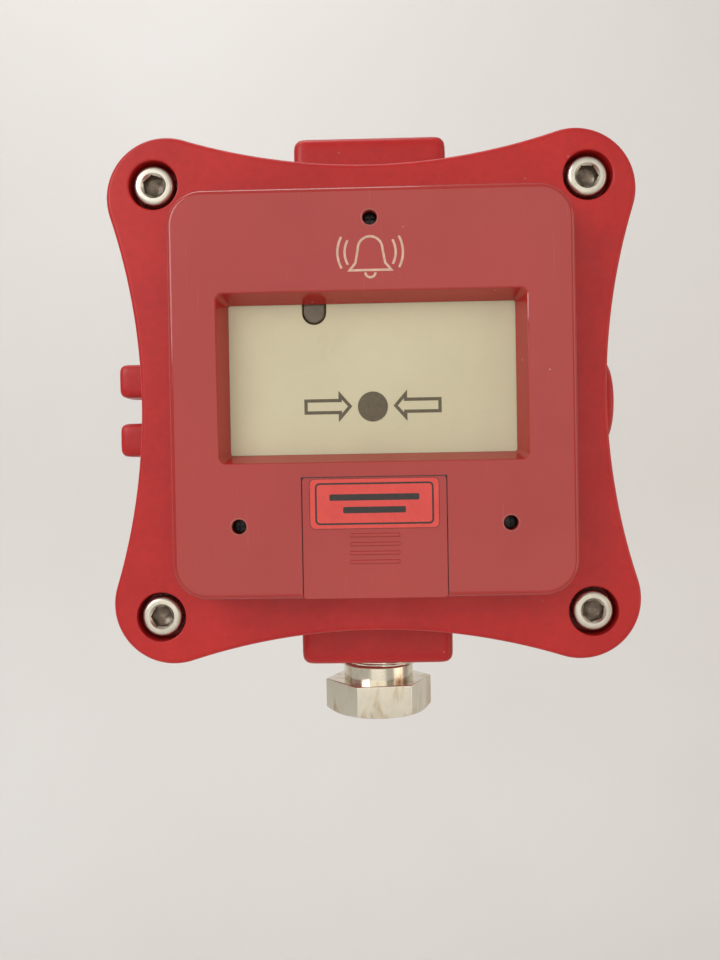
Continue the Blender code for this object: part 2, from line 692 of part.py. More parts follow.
def build_body():
    flange_back = FLANGE_FACE + FLANGE_THICKNESS
    body = slab("body_shell", [lobed_outline(FLANGE_INSET)], FLANGE_FACE, flange_back)
    tub = slab("tub", [square(TUB_SPAN, TUB_CORNER)], flange_back - OVERLAP, 0.0)
    round_rim(tub, BACK_EDGE_RADIUS, front=False, back=True)
    join(body, tub)
    for number, (x, z) in enumerate(SCREW_CENTRES):
        boss = turned(
            f"screw_boss_{number}",
            [
                (0.0, BOSS_LENGTH - OVERLAP),
                (BOSS_RADIUS - BOSS_CHAMFER, BOSS_LENGTH - OVERLAP),
                (BOSS_RADIUS, BOSS_LENGTH - BOSS_CHAMFER - OVERLAP),
                (BOSS_RADIUS, 0.0),
                (0.0, 0.0),
            ],
            (x, FLANGE_FACE + OVERLAP, z),
            (x, 0.0, z),
            segments=20,
        )
        join(body, boss)
    for side in (1, -1):
        reach = side * HUB_REACH
        root = side * (CAVITY_SPAN / 2 + OVERLAP)
        hub = box(
            "upper_hub" if side > 0 else "lower_hub",
            (-HUB_WIDTH / 2, ENTRY_AXIS_Y - HUB_DEPTH / 2, min(root, reach)),
            (HUB_WIDTH / 2, ENTRY_AXIS_Y + HUB_DEPTH / 2, max(root, reach)),
            radius=HUB_EDGE_RADIUS,
            segments=1,
        )
        join(body, hub)
    join(body, *side_lugs())
    side_boss = turned(
        "side_boss",
        [
            (0.0, SIDE_BOSS_REACH),
            (SIDE_BOSS_RADIUS - SIDE_BOSS_CHAMFER, SIDE_BOSS_REACH),
            (SIDE_BOSS_RADIUS, SIDE_BOSS_REACH - SIDE_BOSS_CHAMFER),
            (SIDE_BOSS_RADIUS, CAVITY_SPAN / 2 + OVERLAP),
            (0.0, CAVITY_SPAN / 2 + OVERLAP),
        ],
        (0, ENTRY_AXIS_Y, 0),
        (SIDE_BOSS_REACH, ENTRY_AXIS_Y, 0),
        segments=28,
    )
    earth_pad = box(
        "earth_pad",
        (
            EARTH_PAD_X - EARTH_PAD_SIZE / 2,
            ENTRY_AXIS_Y - EARTH_PAD_SIZE / 2,
            -TUB_SPAN / 2 - EARTH_PAD_HEIGHT,
        ),
        (
            EARTH_PAD_X + EARTH_PAD_SIZE / 2,
            ENTRY_AXIS_Y + EARTH_PAD_SIZE / 2,
            -TUB_SPAN / 2 + PAD_EDGE_RADIUS + OVERLAP,
        ),
        radius=PAD_EDGE_RADIUS,
        segments=1,
    )
    join(body, side_boss, earth_pad)
    cavity = slab(
        "cavity", [square(CAVITY_SPAN, CAVITY_CORNER)], FLANGE_FACE - OVERSHOOT, CAVITY_FLOOR
    )
    cut(body, cavity)
    pillar_top = CAVITY_FLOOR - PILLAR_HEIGHT
    join(body, pins("board_pillars", PILLAR_RADIUS, PILLARS, pillar_top, -OVERLAP, 12))
    wall_hole_x = CAVITY_SPAN / 2 - WALL_HOLE_INSET
    wall_holes = [(x * wall_hole_x, z * wall_hole_x) for z in (1, -1) for x in (-1, 1)]
    wall_boss_top = CAVITY_FLOOR - WALL_BOSS_HEIGHT
    join(body, pins("wall_bosses", WALL_BOSS_RADIUS, wall_holes, wall_boss_top, -OVERLAP, 12))
    inner_boss_top = CAVITY_FLOOR - INNER_EARTH_BOSS
    inner_boss_radius = EARTH_SCREW_RADIUS + INNER_EARTH_BOSS_WALL
    join(
        body,
        pin("inner_earth_boss", inner_boss_radius, INNER_EARTH_PLACE, inner_boss_top, -OVERLAP, 14),
    )
    groove_span = CAVITY_SPAN + 2 * (GROOVE_INSET + GROOVE_WIDTH)
    groove_corner = CAVITY_CORNER + GROOVE_INSET + GROOVE_WIDTH
    groove = slab(
        "seal_groove",
        [
            square(groove_span, groove_corner),
            square(groove_span, groove_corner, inset=GROOVE_WIDTH),
        ],
        FLANGE_FACE - OVERSHOOT,
        FLANGE_FACE + GROOVE_DEPTH,
    )
    screw_end = LID_FRONT + SCREW_SINK + SCREW_HEAD_HEIGHT + SCREW_LENGTH
    screw_hole = SCREW_RADIUS + GAP
    lug_hole_x = -LUG_REACH + LUG_HOLE_INSET
    lug_middle_y = LUG_FRONT_Y + LUG_DEPTH / 2
    cut(
        body,
        groove,
        pins("lid_screw_holes", screw_hole, SCREW_CENTRES, FLANGE_FACE - OVERSHOOT, screw_end + OVERSHOOT),
        pins("wall_screw_holes", WALL_HOLE_RADIUS, wall_holes, -WALL_HOLE_DEPTH, OVERSHOOT, 12),
        pins(
            "board_screw_holes",
            BOARD_SCREW_RADIUS + GAP,
            PILLARS,
            pillar_top - OVERSHOOT,
            pillar_top + BOARD_SCREW_LENGTH,
            10,
        ),
        pin(
            "inner_earth_hole",
            EARTH_SCREW_RADIUS + GAP,
            INNER_EARTH_PLACE,
            inner_boss_top - OVERSHOOT,
            inner_boss_top + EARTH_THREAD + GAP,
            12,
        ),
        cylinder(
            "outer_earth_hole",
            EARTH_SCREW_RADIUS + GAP,
            (EARTH_PAD_X, ENTRY_AXIS_Y, -TUB_SPAN / 2 - EARTH_PAD_HEIGHT - OVERSHOOT),
            (EARTH_PAD_X, ENTRY_AXIS_Y, -TUB_SPAN / 2 - EARTH_PAD_HEIGHT + EARTH_THREAD + GAP),
            segments=12,
        ),
        cylinder(
            "lug_hole",
            LUG_HOLE_RADIUS,
            (lug_hole_x, lug_middle_y, -LUG_SLOT / 2 - LUG_HEIGHT - OVERSHOOT),
            (lug_hole_x, lug_middle_y, LUG_SLOT / 2 + LUG_HEIGHT + OVERSHOOT),
            segments=12,
        ),
        *entry_bore("upper_entry", 1),
        *entry_bore("lower_entry", -1),
    )
    finished(body, RED_PAINT)


def build_lid():
    lid = slab("lid", [lobed_outline()], LID_FRONT, LID_BACK)
    round_rim(lid, LID_EDGE_RADIUS, front=True, segments=2)
    spigot_span = CAVITY_SPAN - 2 * SPIGOT_CLEARANCE
    spigot_corner = CAVITY_CORNER - SPIGOT_CLEARANCE
    spigot = slab(
        "spigot",
        [square(spigot_span, spigot_corner)],
        LID_BACK - OVERLAP,
        LID_BACK + SPIGOT_LENGTH,
    )
    rear_pocket = slab(
        "rear_pocket",
        [square(spigot_span, spigot_corner, inset=SPIGOT_WALL)],
        REAR_POCKET_FLOOR,
        LID_BACK + SPIGOT_LENGTH + OVERSHOOT,
    )
    front_pocket = slab(
        "front_pocket",
        [
            rounded_rectangle(
                WINDOW_WIDTH,
                WINDOW_HEIGHT + 2 * FRONT_POCKET_MARGIN,
                FRONT_POCKET_CORNER,
                (0, WINDOW_CENTRE_Z),
                steps=3,
            )
        ],
        LID_FRONT - OVERSHOOT,
        FRONT_POCKET_FLOOR,
    )
    seat = LID_FRONT + SCREW_SINK + SCREW_HEAD_HEIGHT + 2 * GAP + SPRING_WASHER_THICKNESS
    join(lid, spigot)
    cut(
        lid,
        rear_pocket,
        front_pocket,
        pin(
            "jack_pocket",
            JACK_RADIUS + OVERSHOOT,
            (0, JACK_Z),
            LID_FRONT - OVERSHOOT,
            FRONT_POCKET_FLOOR + GAP,
            24,
        ),
        pins("counterbores", COUNTERBORE_RADIUS, SCREW_CENTRES, LID_FRONT - OVERSHOOT, seat, 28),
        pins(
            "screw_passages",
            SCREW_RADIUS + SCREW_CLEARANCE,
            SCREW_CENTRES,
            seat - OVERLAP,
            LID_BACK + OVERSHOOT,
        ),
        pins(
            "base_screw_holes",
            BASE_SCREW_RADIUS + GAP,
            BASE_SCREWS,
            LID_FRONT - OVERSHOOT,
            LID_FRONT + BASE_SCREW_GRIP + GAP,
            16,
        ),
        pin(
            "bush_hole",
            BUSH_RADIUS + GAP,
            (0, ROD_Z),
            FRONT_POCKET_FLOOR - OVERSHOOT,
            REAR_POCKET_FLOOR + OVERSHOOT,
        ),
    )
    finished(lid, RED_PAINT)


def build_lid_seal():
    outer = CAVITY_SPAN + 2 * (GROOVE_INSET + GROOVE_WIDTH - GAP)
    corner = CAVITY_CORNER + GROOVE_INSET + GROOVE_WIDTH - GAP
    seal = slab(
        "lid_seal",
        [square(outer, corner), square(outer, corner, inset=GROOVE_WIDTH - 2 * GAP)],
        FLANGE_FACE,
        FLANGE_FACE + GROOVE_DEPTH - GAP,
    )
    finished(seal, RUBBER)


def socket_screw(name, place):
    """One lid screw: round head with a hexagon socket, and its threaded shank."""
    x, z = place
    head_face = LID_FRONT + SCREW_SINK
    length = SCREW_HEAD_HEIGHT + SCREW_LENGTH
    edge = 0.5 * MM
    screw = turned(
        name,
        [
            (0.0, length),
            (SCREW_RADIUS - edge, length),
            (SCREW_RADIUS, length - edge),
            (SCREW_RADIUS, SCREW_HEAD_HEIGHT),
            (SCREW_HEAD_RADIUS, SCREW_HEAD_HEIGHT),
            (SCREW_HEAD_RADIUS, edge),
            (SCREW_HEAD_RADIUS - edge, 0.0),
            (0.0, 0.0),
        ],
        (x, head_face, z),
        (x, head_face + length, z),
        segments=24,
    )
    socket = prism(
        name + "_socket",
        SCREW_SOCKET_FLATS,
        (x, head_face - OVERSHOOT, z),
        (x, head_face + SCREW_HEAD_HEIGHT / 2, z),
    )
    cut(screw, socket)
    finished(screw, NICKEL)


def spring_washer(name, outer, inner, thickness, start, direction, look):
    """A split ring that lies against start and runs thickness along direction."""
    start, direction = Vector(start), Vector(direction)
    washer = ring(name, outer, inner, start, start + direction * thickness, segments=20)
    across = direction.orthogonal().normalized()
    middle = start + direction * thickness / 2
    split = cylinder(
        name + "_split",
        0.5 * MM,
        middle - direction * (thickness / 2 + OVERSHOOT) + across * (outer + inner) / 2,
        middle + direction * (thickness / 2 + OVERSHOOT) + across * (outer + inner) / 2,
        segments=4,
    )
    split.scale = (outer / MM, 1.0, 1.0)
    cut(washer, split)
    finished(washer, look)


def build_lid_fasteners():
    corners = ("top_left", "top_right", "bottom_left", "bottom_right")
    washer_face = LID_FRONT + SCREW_SINK + SCREW_HEAD_HEIGHT + GAP
    for corner, place in zip(corners, SCREW_CENTRES):
        socket_screw(f"lid_screw_{corner}", place)
        spring_washer(
            f"lid_washer_{corner}",
            SCREW_HEAD_RADIUS,
            SCREW_RADIUS + SCREW_CLEARANCE,
            SPRING_WASHER_THICKNESS,
            (place[0], washer_face, place[1]),
            (0, 1, 0),
            STEEL,
        )


# ---------------------------------------------------------------- front unit


def build_cover():
    centre = (0.0, COVER_CENTRE_Z)
    window = (0.0, WINDOW_CENTRE_Z)
    outline = rounded_rectangle(COVER_WIDTH, COVER_HEIGHT, COVER_CORNER, centre, steps=8)
    cover = slab("front_cover", [outline], COVER_FRONT, COVER_BACK)
    round_rim(cover, COVER_EDGE_RADIUS, segments=3)
    inside = slab(
        "cover_inside",
        [
            rounded_rectangle(
                COVER_WIDTH - 2 * COVER_WALL,
                COVER_HEIGHT - 2 * COVER_WALL,
                COVER_CORNER - COVER_WALL,
                centre,
            )
        ],
        COVER_FRONT + COVER_WALL,
        COVER_BACK + OVERSHOOT,
    )
    skirt_size = 2 * (WINDOW_SKIRT - WINDOW_TAPER)
    skirt = slab(
        "window_skirt",
        [
            rounded_rectangle(
                WINDOW_WIDTH + skirt_size + 2 * OVERLAP,
                WINDOW_HEIGHT + skirt_size + 2 * OVERLAP,
                WINDOW_CORNER + WINDOW_SKIRT,
                window,
            )
        ],
        COVER_FRONT + COVER_WALL - OVERLAP,
        SKIRT_END,
    )
    cut_depth = WINDOW_DEPTH + 2 * OVERSHOOT
    lean = WINDOW_TAPER * cut_depth / WINDOW_DEPTH
    spread = 2 * WINDOW_TAPER * OVERSHOOT / WINDOW_DEPTH
    wide, high = WINDOW_WIDTH + spread, WINDOW_HEIGHT + spread
    opening = slab(
        "window_opening",
        [rounded_rectangle(wide, high, WINDOW_CORNER, window, steps=3)],
        COVER_FRONT - OVERSHOOT,
        SKIRT_END + OVERSHOOT,
    )
    tapered(opening, window, wide, high, lean)
    door_slot = box(
        "door_slot",
        (-DOOR_WIDTH / 2, COVER_FRONT - OVERSHOOT, DOOR_BOTTOM_Z - OVERSHOOT),
        (DOOR_WIDTH / 2, DOOR_BACK + OVERSHOOT, DOOR_TOP_Z),
    )
    flange_slot = box(
        "door_flange_slot",
        (-DOOR_WIDTH / 2 - DOOR_FLANGE, DOOR_BACK - GAP / 2, DOOR_BOTTOM_Z - OVERSHOOT),
        (
            DOOR_WIDTH / 2 + DOOR_FLANGE,
            DOOR_BACK + GAP + DOOR_FLANGE_THICKNESS + GAP,
            DOOR_BOTTOM_Z + COVER_WALL + OVERSHOOT,
        ),
    )
    holes = pins(
        "access_holes",
        ACCESS_HOLE_RADIUS,
        BASE_SCREWS,
        COVER_FRONT - OVERSHOOT,
        COVER_FRONT + COVER_WALL + OVERSHOOT,
        24,
    )
    cut(cover, inside)
    join(cover, skirt)
    cut(cover, opening, door_slot, flange_slot, holes)
    finished(cover, RED_PLASTIC)


def notch_outline(width, bottom, top):
    """A slot with a round lower end."""
    radius = width / 2
    lower = arc((NOTCH_X, bottom + radius), radius, math.pi, math.tau, 8)
    return lower + [(NOTCH_X + radius, top), (NOTCH_X - radius, top)]


def build_panel():
    centre = (0.0, WINDOW_CENTRE_Z)
    top = WINDOW_CENTRE_Z + PANEL_HEIGHT / 2
    panel = slab(
        "press_panel",
        [rounded_rectangle(PANEL_WIDTH, PANEL_HEIGHT, WINDOW_CORNER, centre, steps=3)],
        PANEL_FRONT,
        PANEL_BACK,
    )
    round_rim(panel, PANEL_EDGE_RADIUS, segments=1)
    notch = slab(
        "panel_notch",
        [notch_outline(NOTCH_WIDTH, NOTCH_BOTTOM_Z, top + OVERSHOOT)],
        PANEL_FRONT - OVERSHOOT,
        PANEL_BACK + OVERSHOOT,
    )
    cut(panel, notch)
    boss_end = PANEL_BACK + ROD_BOSS_REACH
    join(panel, pin("rod_pad", ROD_BOSS_RADIUS, (0, ROD_Z), PANEL_BACK - OVERLAP, boss_end, 24))
    for side in (-1, 1):
        lug = box(
            f"panel_lug_{'left' if side < 0 else 'right'}",
            (
                side * PANEL_LUG_X - PANEL_LUG_THICKNESS / 2,
                PANEL_BACK - OVERLAP,
                WINDOW_CENTRE_Z - PANEL_LUG_HEIGHT / 2,
            ),
            (
                side * PANEL_LUG_X + PANEL_LUG_THICKNESS / 2,
                PANEL_BACK + PANEL_LUG_REACH,
                WINDOW_CENTRE_Z + PANEL_LUG_HEIGHT / 2,
            ),
        )
        join(panel, lug)
    finished(panel, CREAM_PLASTIC)
    return panel


def build_lens_and_led():
    bottom = NOTCH_BOTTOM_Z + PANEL_CLEARANCE
    top = WINDOW_CENTRE_Z + PANEL_HEIGHT / 2 - PANEL_CLEARANCE
    lens = slab(
        "indicator_lens",
        [notch_outline(NOTCH_WIDTH - 2 * PANEL_CLEARANCE, bottom, top)],
        PANEL_FRONT + LENS_SINK,
        BASE_FRONT - GAP,
    )
    finished(lens, GREY_LENS)
    led_z = NOTCH_BOTTOM_Z + NOTCH_WIDTH / 2
    led_front = BASE_FRONT + GAP
    led = turned(
        "alarm_led",
        [
            (0.0, LED_LENGTH),
            (LED_RADIUS + 0.3 * MM, LED_LENGTH),
            (LED_RADIUS + 0.3 * MM, LED_LENGTH - 0.8 * MM),
            (LED_RADIUS, LED_LENGTH - 0.8 * MM),
            (LED_RADIUS, LED_RADIUS),
            (LED_RADIUS * 0.7, LED_RADIUS * 0.3),
            (0.0, 0.0),
        ],
        (NOTCH_X, led_front, led_z),
        (NOTCH_X, led_front + LED_LENGTH, led_z),
        segments=16,
    )
    finished(led, LED_RED)
    board_front = led_front + LED_LENGTH + GAP
    board = slab(
        "unit_board",
        [
            rounded_rectangle(
                WINDOW_WIDTH - 2 * UNIT_BOARD_SIDE_INSET,
                WINDOW_HEIGHT + 2 * UNIT_BOARD_END_MARGIN,
                WINDOW_CORNER,
                (0, WINDOW_CENTRE_Z),
                steps=2,
            )
        ],
        board_front,
        board_front + BOARD_THICKNESS,
    )
    cut(
        board,
        pin(
            "unit_board_hole",
            BUSH_RADIUS + 1.5 * MM,
            (0, ROD_Z),
            board_front - OVERSHOOT,
            board_front + BOARD_THICKNESS + OVERSHOOT,
        ),
    )
    finished(board, BOARD_GREEN)


def build_base():
    """The base plate that the press panel, lens and jack sit on, screwed to the lid."""
    inner_width = COVER_WIDTH - 2 * COVER_WALL - 2 * GAP
    inner_height = COVER_HEIGHT - 2 * COVER_WALL - 2 * GAP
    centre = (0.0, COVER_CENTRE_Z)
    window = (0.0, WINDOW_CENTRE_Z)
    base = slab(
        "unit_base",
        [
            rounded_rectangle(
                inner_width, inner_height, COVER_CORNER - COVER_WALL - GAP, centre
            )
        ],
        BASE_FRONT,
        BASE_BACK,
    )
    well_width = PANEL_WIDTH + 2 * PANEL_CLEARANCE
    well_height = PANEL_HEIGHT + 2 * PANEL_CLEARANCE
    well = slab(
        "panel_well",
        [
            rounded_rectangle(
                well_width + 2 * BASE_RING_WALL,
                well_height + 2 * BASE_RING_WALL,
                WINDOW_CORNER + BASE_RING_WALL,
                window,
                steps=2,
            ),
            rounded_rectangle(well_width, well_height, WINDOW_CORNER, window, steps=2),
        ],
        PANEL_FRONT,
        BASE_FRONT + OVERLAP,
    )
    join(base, well)
    jack_tower = pin(
        "jack_tower",
        JACK_COLLAR_RADIUS,
        (0, JACK_Z),
        DOOR_BACK + 2 * GAP + DOOR_FLANGE_THICKNESS + JACK_COLLAR_THICKNESS + GAP,
        BASE_FRONT + OVERLAP,
    )
    join(base, jack_tower)
    for number, place in enumerate(BASE_SCREWS):
        standoff = pin(
            f"screw_standoff_{number}",
            BASE_SCREW_HEAD_RADIUS + 0.6 * MM,
            place,
            base_screw_seat(),
            BASE_FRONT + OVERLAP,
            20,
        )
        join(base, standoff)
    lug_slots = [
        box(
            f"lug_slot_{'left' if side < 0 else 'right'}",
            (
                side * PANEL_LUG_X - PANEL_LUG_THICKNESS / 2 - 2 * GAP,
                BASE_FRONT - OVERSHOOT,
                WINDOW_CENTRE_Z - PANEL_LUG_HEIGHT / 2 - 2 * GAP,
            ),
            (
                side * PANEL_LUG_X + PANEL_LUG_THICKNESS / 2 + 2 * GAP,
                BASE_BACK + OVERSHOOT,
                WINDOW_CENTRE_Z + PANEL_LUG_HEIGHT / 2 + 2 * GAP,
            ),
        )
        for side in (-1, 1)
    ]
    led_z = NOTCH_BOTTOM_Z + NOTCH_WIDTH / 2
    cut(
        base,
        *lug_slots,
        pin(
            "led_hole",
            LED_RADIUS + 2 * GAP,
            (NOTCH_X, led_z),
            BASE_FRONT - OVERSHOOT,
            BASE_BACK + OVERSHOOT,
            16,
        ),
        pin(
            "rod_window",
            ROD_BOSS_RADIUS + 2 * GAP,
            (0, ROD_Z),
            BASE_FRONT - OVERSHOOT,
            BASE_BACK + OVERSHOOT,
            24,
        ),
        pin(
            "jack_hole",
            JACK_RADIUS + GAP,
            (0, JACK_Z),
            COVER_FRONT,
            BASE_BACK + OVERSHOOT,
            24,
        ),
        pins(
            "base_screw_passages",
            BASE_SCREW_RADIUS + GAP,
            BASE_SCREWS,
            COVER_FRONT,
            BASE_BACK + OVERSHOOT,
            16,
        ),
    )
    finished(base, BLACK_PLASTIC)


def base_screw_seat():
    """The depth at which the base screws' heads rest."""
    return COVER_FRONT + COVER_WALL + 2 * GAP + BASE_SCREW_HEAD_HEIGHT


def build_base_screws():
    names = ("top", "lower_left", "lower_right")
    seat = base_screw_seat() - GAP
    length = LID_FRONT + BASE_SCREW_GRIP - seat
    for side, (x, z) in zip(names, BASE_SCREWS):
        screw = turned(
            f"base_screw_{side}",
            [
                (0.0, BASE_SCREW_HEAD_HEIGHT + length),
                (BASE_SCREW_RADIUS, BASE_SCREW_HEAD_HEIGHT + length),
                (BASE_SCREW_RADIUS, BASE_SCREW_HEAD_HEIGHT),
                (BASE_SCREW_HEAD_RADIUS, BASE_SCREW_HEAD_HEIGHT),
                (BASE_SCREW_HEAD_RADIUS, HEAD_CHAMFER),
                (BASE_SCREW_HEAD_RADIUS * 0.6, 0.0),
                (0.0, 0.0),
            ],
            (x, seat - BASE_SCREW_HEAD_HEIGHT, z),
            (x, seat + length, z),
            segments=20,
        )
        slots = [
            box(
                f"{side}_slot_{turn}",
                (x - wide, seat - BASE_SCREW_HEAD_HEIGHT - OVERSHOOT, z - tall),
                (x + wide, seat - BASE_SCREW_HEAD_HEIGHT / 2, z + tall),
            )
            for turn, wide, tall in (
                ("level", CROSS_SLOT_REACH, CROSS_SLOT_HALF_WIDTH),
                ("upright", CROSS_SLOT_HALF_WIDTH, CROSS_SLOT_REACH),
            )
        ]
        cut(screw, *slots)
        finished(screw, BLACK_STEEL)


def build_door():
    """The sliding door: a flush panel with flanges that run behind the cover."""
    half = DOOR_WIDTH / 2 - DOOR_CLEARANCE
    top = DOOR_TOP_Z - DOOR_CLEARANCE
    middle = (0.0, (top + DOOR_BOTTOM_Z) / 2)
    door = slab(
        "jack_door",
        [rounded_rectangle(2 * half, top - DOOR_BOTTOM_Z, DOOR_CORNER, middle, steps=2)],
        COVER_FRONT,
        DOOR_BACK + OVERLAP / 2,
    )
    round_rim(
        door,
        COVER_EDGE_RADIUS,
        segments=3,
        keep=lambda edge: all(abs(v.co.y - DOOR_BOTTOM_Z) < 1e-6 for v in edge.verts),
    )
    flange_front = DOOR_BACK + GAP
    flange = box(
        "door_flange",
        (-half - DOOR_FLANGE + GAP, flange_front, DOOR_BOTTOM_Z + 0.5 * MM),
        (half + DOOR_FLANGE - GAP, flange_front + DOOR_FLANGE_THICKNESS, top + DOOR_FLANGE),
    )
    label_middle = (0.0, DOOR_TOP_Z - LABEL_TOP_DROP - LABEL_HEIGHT / 2)
    recess = slab(
        "label_recess",
        [
            rounded_rectangle(
                LABEL_WIDTH + GAP, LABEL_HEIGHT + GAP, LABEL_CORNER, label_middle, steps=3
            )
        ],
        COVER_FRONT - OVERSHOOT,
        COVER_FRONT + LABEL_SINK + LABEL_THICKNESS + GAP / 3,
    )
    join(door, flange)
    cut(door, recess)
    for row in range(GRIP_RIBS):
        rib_z = label_middle[1] - LABEL_HEIGHT / 2 - GRIP_DROP - row * GRIP_PITCH
        rib = box(
            f"grip_rib_{row}",
            (-GRIP_WIDTH / 2, COVER_FRONT - GRIP_RISE, rib_z - GRIP_HEIGHT / 2),
            (GRIP_WIDTH / 2, COVER_FRONT + OVERLAP, rib_z + GRIP_HEIGHT / 2),
        )
        join(door, rib)
    finished(door, RED_PLASTIC)
    label = slab(
        "warning_label",
        [rounded_rectangle(LABEL_WIDTH, LABEL_HEIGHT, LABEL_CORNER, label_middle, steps=4)],
        COVER_FRONT + LABEL_SINK,
        COVER_FRONT + LABEL_SINK + LABEL_THICKNESS,
    )
    finished(label, LABEL_RED)
    guided_by("door_slide_axis", (0, COVER_FRONT, DOOR_TOP_Z), door, label)


def build_jack():
    """Telephone jack with a round collar, reached when the door is down."""
    collar_front = DOOR_BACK + 2 * GAP + DOOR_FLANGE_THICKNESS + GAP / 2
    end = FRONT_POCKET_FLOOR
    length = end - collar_front
    jack = turned(
        "phone_jack",
        [
            (0.0, length),
            (JACK_RADIUS, length),
            (JACK_RADIUS, JACK_COLLAR_THICKNESS),
            (JACK_COLLAR_RADIUS, JACK_COLLAR_THICKNESS),
            (JACK_COLLAR_RADIUS, 0.4 * MM),
            (JACK_COLLAR_RADIUS - 0.4 * MM, 0.0),
            (JACK_BORE_RADIUS + 0.6 * MM, 0.0),
            (JACK_BORE_RADIUS, 0.6 * MM),
            (JACK_BORE_RADIUS, length - 2 * MM),
            (0.0, length - 2 * MM),
        ],
        (0, collar_front, JACK_Z),
        (0, end, JACK_Z),
        segments=24,
    )
    finished(jack, BLACK_PLASTIC)


def build_detents():
    """Two bent spring strips behind the base that click against the panel's lugs."""
    foot_y = BASE_BACK + GAP / 2 + DETENT_THICKNESS / 2
    lug_face = PANEL_LUG_X + PANEL_LUG_THICKNESS / 2
    for side, name in ((-1, "detent_spring_left"), (1, "detent_spring_right")):
        route = [
            (lug_face + DETENT_FOOT[0], foot_y),
            (lug_face + DETENT_FOOT[1], foot_y),
            (lug_face + DETENT_KNEE[0], foot_y + DETENT_KNEE[1]),
            (lug_face + DETENT_TIP[0], foot_y + DETENT_TIP[1]),
        ]
        mesh = bpy.data.meshes.new(name)
        shape = bmesh.new()
        low = WINDOW_CENTRE_Z - DETENT_HEIGHT / 2
        columns = [
            [shape.verts.new((side * x, y, low + level * DETENT_HEIGHT)) for level in (0, 1)]
            for x, y in route
        ]
        for (a, b), (c, d) in zip(columns, columns[1:]):
            shape.faces.new((a, c, d, b))
        shape.to_mesh(mesh)
        shape.free()
        strip = added(name, mesh)
        thicken = strip.modifiers.new("thickness", "SOLIDIFY")
        thicken.thickness = DETENT_THICKNESS
        thicken.offset = 0.0
        thicken.use_even_offset = True
        finished(strip, STEEL)


# ---------------------------------------------------------------- push rod


def build_bush():
    bush = cylinder(
        "rod_bush", BUSH_RADIUS, (0, BUSH_FRONT, ROD_Z), (0, BUSH_BACK - OVERLAP, ROD_Z), 32
    )
    head = prism(
        "bush_head",
        BUSH_FLATS,
        (0, REAR_POCKET_FLOOR + GAP, ROD_Z),
        (0, BUSH_BACK, ROD_Z),
    )
    join(bush, head)
    cut(
        bush,
        pin(
            "bush_bore",
            ROD_RADIUS + ROD_CLEARANCE,
            (0, ROD_Z),
            BUSH_FRONT - OVERSHOOT,
            BUSH_BACK + OVERSHOOT,
        ),
        pin(
            "spring_pocket",
            BUSH_POCKET_RADIUS,
            (0, ROD_Z),
            BUSH_FRONT - OVERSHOOT,
            BUSH_POCKET_FLOOR,
        ),
    )
    finished(bush, BRASS)


def build_rod():
    """Steel rod with a collar under the panel's pad, and the ring that retains it."""
    length = ROD_BACK - ROD_FRONT
    retainer_front = BUSH_BACK + GAP
    neck = retainer_front - GAP / 2 - ROD_FRONT
    neck_end = neck + RETAINER_THICKNESS + GAP
    groove_radius = ROD_RADIUS - 0.5 * MM
    rod = turned(
        "push_rod",
        [
            (0.0, length),
            (ROD_RADIUS - 0.4 * MM, length),
            (ROD_RADIUS, length - 0.4 * MM),
            (ROD_RADIUS, neck_end),
            (groove_radius, neck_end),
            (groove_radius, neck),
            (ROD_RADIUS, neck),
            (ROD_RADIUS, ROD_COLLAR_THICKNESS),
            (ROD_COLLAR_RADIUS, ROD_COLLAR_THICKNESS),
            (ROD_COLLAR_RADIUS, 0.0),
            (0.0, 0.0),
        ],
        (0, ROD_FRONT, ROD_Z),
        (0, ROD_BACK, ROD_Z),
        segments=24,
    )
    finished(rod, STEEL)
    retainer = depth_ring(
        "rod_retainer",
        RETAINER_RADIUS,
        groove_radius + GAP / 2,
        (0, ROD_Z),
        retainer_front,
        retainer_front + RETAINER_THICKNESS,
        24,
    )
    mouth = box(
        "retainer_mouth",
        (-1.2 * MM, retainer_front - OVERSHOOT, ROD_Z - RETAINER_RADIUS - OVERSHOOT),
        (1.2 * MM, retainer_front + RETAINER_THICKNESS + OVERSHOOT, ROD_Z),
    )
    cut(retainer, mouth)
    finished(retainer, BLACK_STEEL)
    return rod, retainer


def build_rod_spring():
    """Compression spring between the rod's collar and the pocket in the bush."""
    start = ROD_FRONT + ROD_COLLAR_THICKNESS + SPRING_WIRE / 2 + GAP / 2
    end = BUSH_POCKET_FLOOR - SPRING_WIRE / 2 - GAP / 2
    radius = (ROD_RADIUS + BUSH_POCKET_RADIUS) / 2
    per_turn = 10
    steps = SPRING_TURNS * per_turn
    curve = bpy.data.curves.new("rod_spring_path", "CURVE")
    curve.dimensions = "3D"
    curve.bevel_depth = SPRING_WIRE / 2
    curve.bevel_resolution = 1
    curve.use_fill_caps = True
    spline = curve.splines.new("POLY")
    spline.points.add(steps)
    for step, point in enumerate(spline.points):
        angle = math.tau * step / per_turn
        along = start + (end - start) * step / steps
        point.co = (radius * math.cos(angle), along, ROD_Z + radius * math.sin(angle), 1.0)
    spring = added("rod_spring", curve)
    skin = bpy.data.materials.new("rod_spring_material")
    skin.use_nodes = True
    shader = skin.node_tree.nodes["Principled BSDF"]
    shader.inputs["Base Color"].default_value = (*STEEL[0], 1.0)
    shader.inputs["Roughness"].default_value = STEEL[1]
    shader.inputs["Metallic"].default_value = STEEL[2]
    curve.materials.append(skin)


# ---------------------------------------------------------------- inside the body


